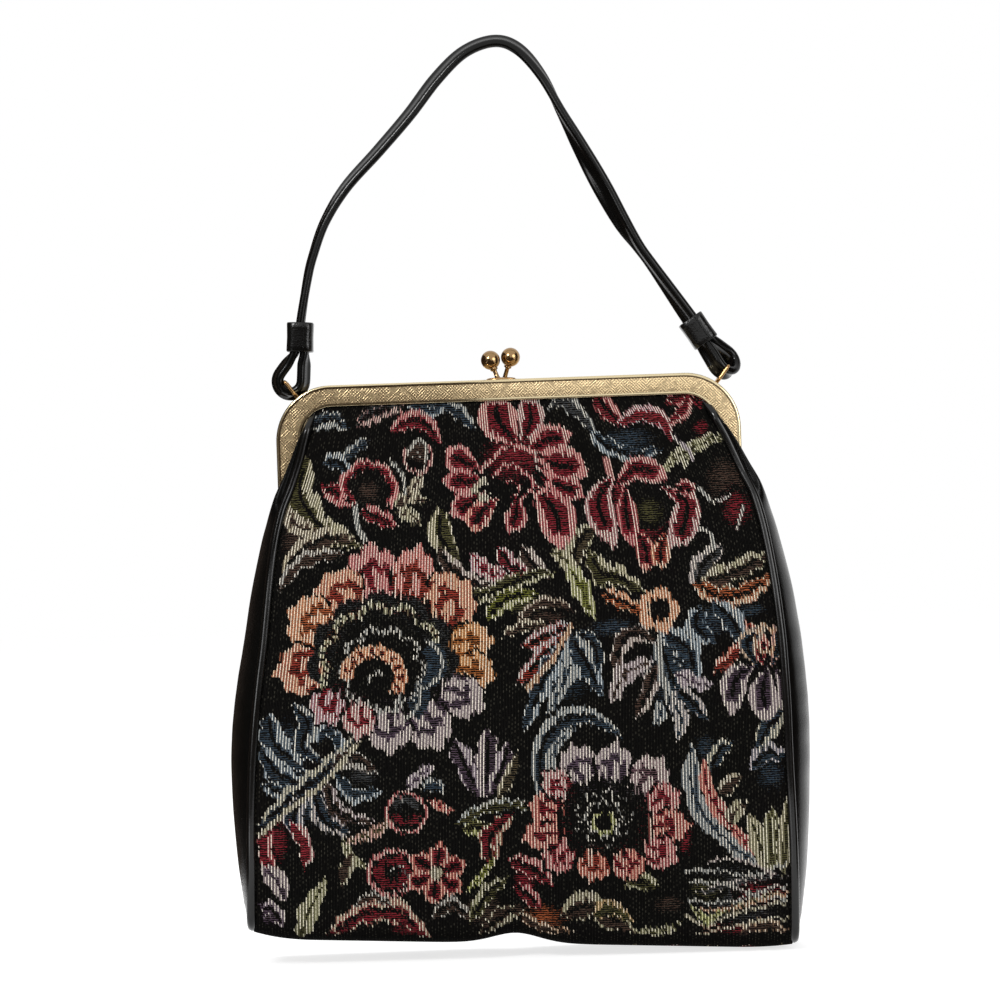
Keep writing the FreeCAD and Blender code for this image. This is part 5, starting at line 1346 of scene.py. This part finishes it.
def make_handle():
    ends = []
    for name, loop in LOOPS.items():
        foot, up = loop_plan(name)[1:3]
        ends.append([(*(foot + up * SLEEVE_LENGTH * share), -0.7 * loop[4]) for share in (0.35, 0.95)])
    arch = [(x, BAG_HEIGHT + z, twist) for x, z, twist in ARCH]
    plan = curve_through(ends[0] + arch + ends[1][::-1], ARCH_STEPS)
    path = in_depth(plan)
    run = directions(path)
    normal = np.stack((-run[:, 2], np.zeros(len(run)), run[:, 0]), axis=-1)
    angle = np.radians(plan[:, 2])[:, None]
    across = DEPTHWAYS * np.cos(angle) + normal * np.sin(angle)
    flat = -DEPTHWAYS * np.sin(angle) + normal * np.cos(angle)
    strap = sweep("strap_handle", path, across, flat, strap_section(), STRAP_VINYL)
    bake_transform(strap)
    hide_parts("strap_arch", "strap_flex_left", "strap_flex_right")


for loop_name in LOOPS:
    make_loop(loop_name)
    make_sleeve(loop_name)
make_handle()

# Solids that stay as they are get their finish
FINISHES = {
    "frame_front": EDGE_GOLD, "frame_rear": EDGE_GOLD, "hinge_rivets": WIRE_GOLD, "hinge_washers": WIRE_GOLD,
    "bail_left": WIRE_GOLD, "bail_right": WIRE_GOLD, "paper_cord_front": PAPER, "paper_cord_rear": PAPER,
}
for node, material in FINISHES.items():
    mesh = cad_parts[node].data
    mesh.materials.clear()
    mesh.materials.append(material)

# Stage: pale floor, soft lamps and dark cards that only show in the metal and the vinyl
FLOOR = -6.5
FLOOR_REACH = 4000.0
FLOOR_GLOW = 0.72
WORLD_LIGHT, WORLD_SEEN = 0.55, 1.0
LAMP_AIM = Vector((0.0, 0.0, 0.16))


def make_floor():
    tree = Tree(bpy.data.materials.new("floor"))
    tree.nodes.clear()
    diffuse = tree.node("ShaderNodeBsdfDiffuse", {"Color": (0.5, 0.5, 0.5, 1)})
    glow = tree.node("ShaderNodeEmission", {"Strength": tree.seen() * FLOOR_GLOW})
    both = tree.node("ShaderNodeAddShader", {0: diffuse, 1: glow})
    tree.put(tree.nodes.new("ShaderNodeOutputMaterial").inputs["Surface"], both)
    points = [(x * FLOOR_REACH, y * FLOOR_REACH, FLOOR) for x, y in ((-1, -1), (1, -1), (1, 1), (-1, 1))]
    make_object("floor", points, [[0, 1, 2, 3]], tree.owner)


def make_world():
    world = bpy.data.worlds.new("studio")
    bpy.context.scene.world = world
    tree = Tree(world)
    background = tree.nodes["Background"]
    tree.put(background.inputs["Strength"], tree.span(tree.seen(), WORLD_LIGHT, WORLD_SEEN))
    tree.put(background.inputs["Color"], (1, 1, 1, 1))


def add_lamp(name, place, size, power):
    lamp = bpy.data.lights.new(name, "AREA")
    lamp.shape = "DISK"
    lamp.size = size
    lamp.energy = power
    holder = bpy.data.objects.new(name, lamp)
    holder.location = place
    holder.rotation_mode = "QUATERNION"
    holder.rotation_quaternion = (LAMP_AIM - Vector(place)).to_track_quat("-Z", "Y")
    bpy.context.scene.collection.objects.link(holder)
    return holder


def add_card(name, *corners):
    material = Shade(name, Base_Color=(0.05, 0.032, 0.022, 1), Roughness=0.9).owner
    card = make_object(name, corners, [[0, 1, 2, 3]], material)
    card.visible_camera = False
    card.visible_diffuse = False
    card.visible_shadow = False


make_floor()
make_world()
add_lamp("key", (-0.75, -1.25, 1.05), 0.42, 14.5)
add_lamp("side", (-0.9, -1.15, 0.25), 0.5, 3.0)
add_lamp("fill", (0.95, -1.1, 0.55), 0.8, 6.5)
add_lamp("top", (0.1, 0.5, 1.3), 0.6, 9.0).visible_glossy = False
add_card("dark_card_low", (-260, -560, 228), (260, -560, 228), (260, -110, 60), (-260, -110, 60))
add_card("dark_card_left", (-420, -120, 190), (-12, -120, 190), (-12, -120, 296), (-420, -120, 296))
add_card("dark_card_right", (330, -180, -4), (330, 60, -4), (330, 60, 520), (330, -180, 520))
add_card("dark_card_far_left", (-330, -200, -4), (-330, 420, -4), (-330, 420, 520), (-330, -200, 520))
add_card("dark_card_behind", (-900, -100, -4), (-150, 260, -4), (-150, 260, 420), (-900, -100, 420))

# Camera: straight on, with the frame's right end a little higher, as it hung
PHOTO_MM_PER_PIXEL = 0.4379
PHOTO_PIXELS = 1000
CAMERA_AIM = (-4.8, 193.4)
CAMERA_ROLL = 2.04
CAMERA_DISTANCE = 1500.0

camera_data = bpy.data.cameras.new("camera")
camera = bpy.data.objects.new("camera", camera_data)
bpy.context.scene.collection.objects.link(camera)
camera_data.sensor_width = 36.0
camera_data.lens = camera_data.sensor_width * CAMERA_DISTANCE / (PHOTO_MM_PER_PIXEL * PHOTO_PIXELS)
camera.location = (CAMERA_AIM[0] * MM, (-CAMERA_DISTANCE - HALF_DEPTH) * MM, CAMERA_AIM[1] * MM)
camera.rotation_euler = (math.pi / 2, math.radians(CAMERA_ROLL), 0)
bpy.context.scene.camera = camera
bpy.context.scene.view_settings.view_transform = "Standard"
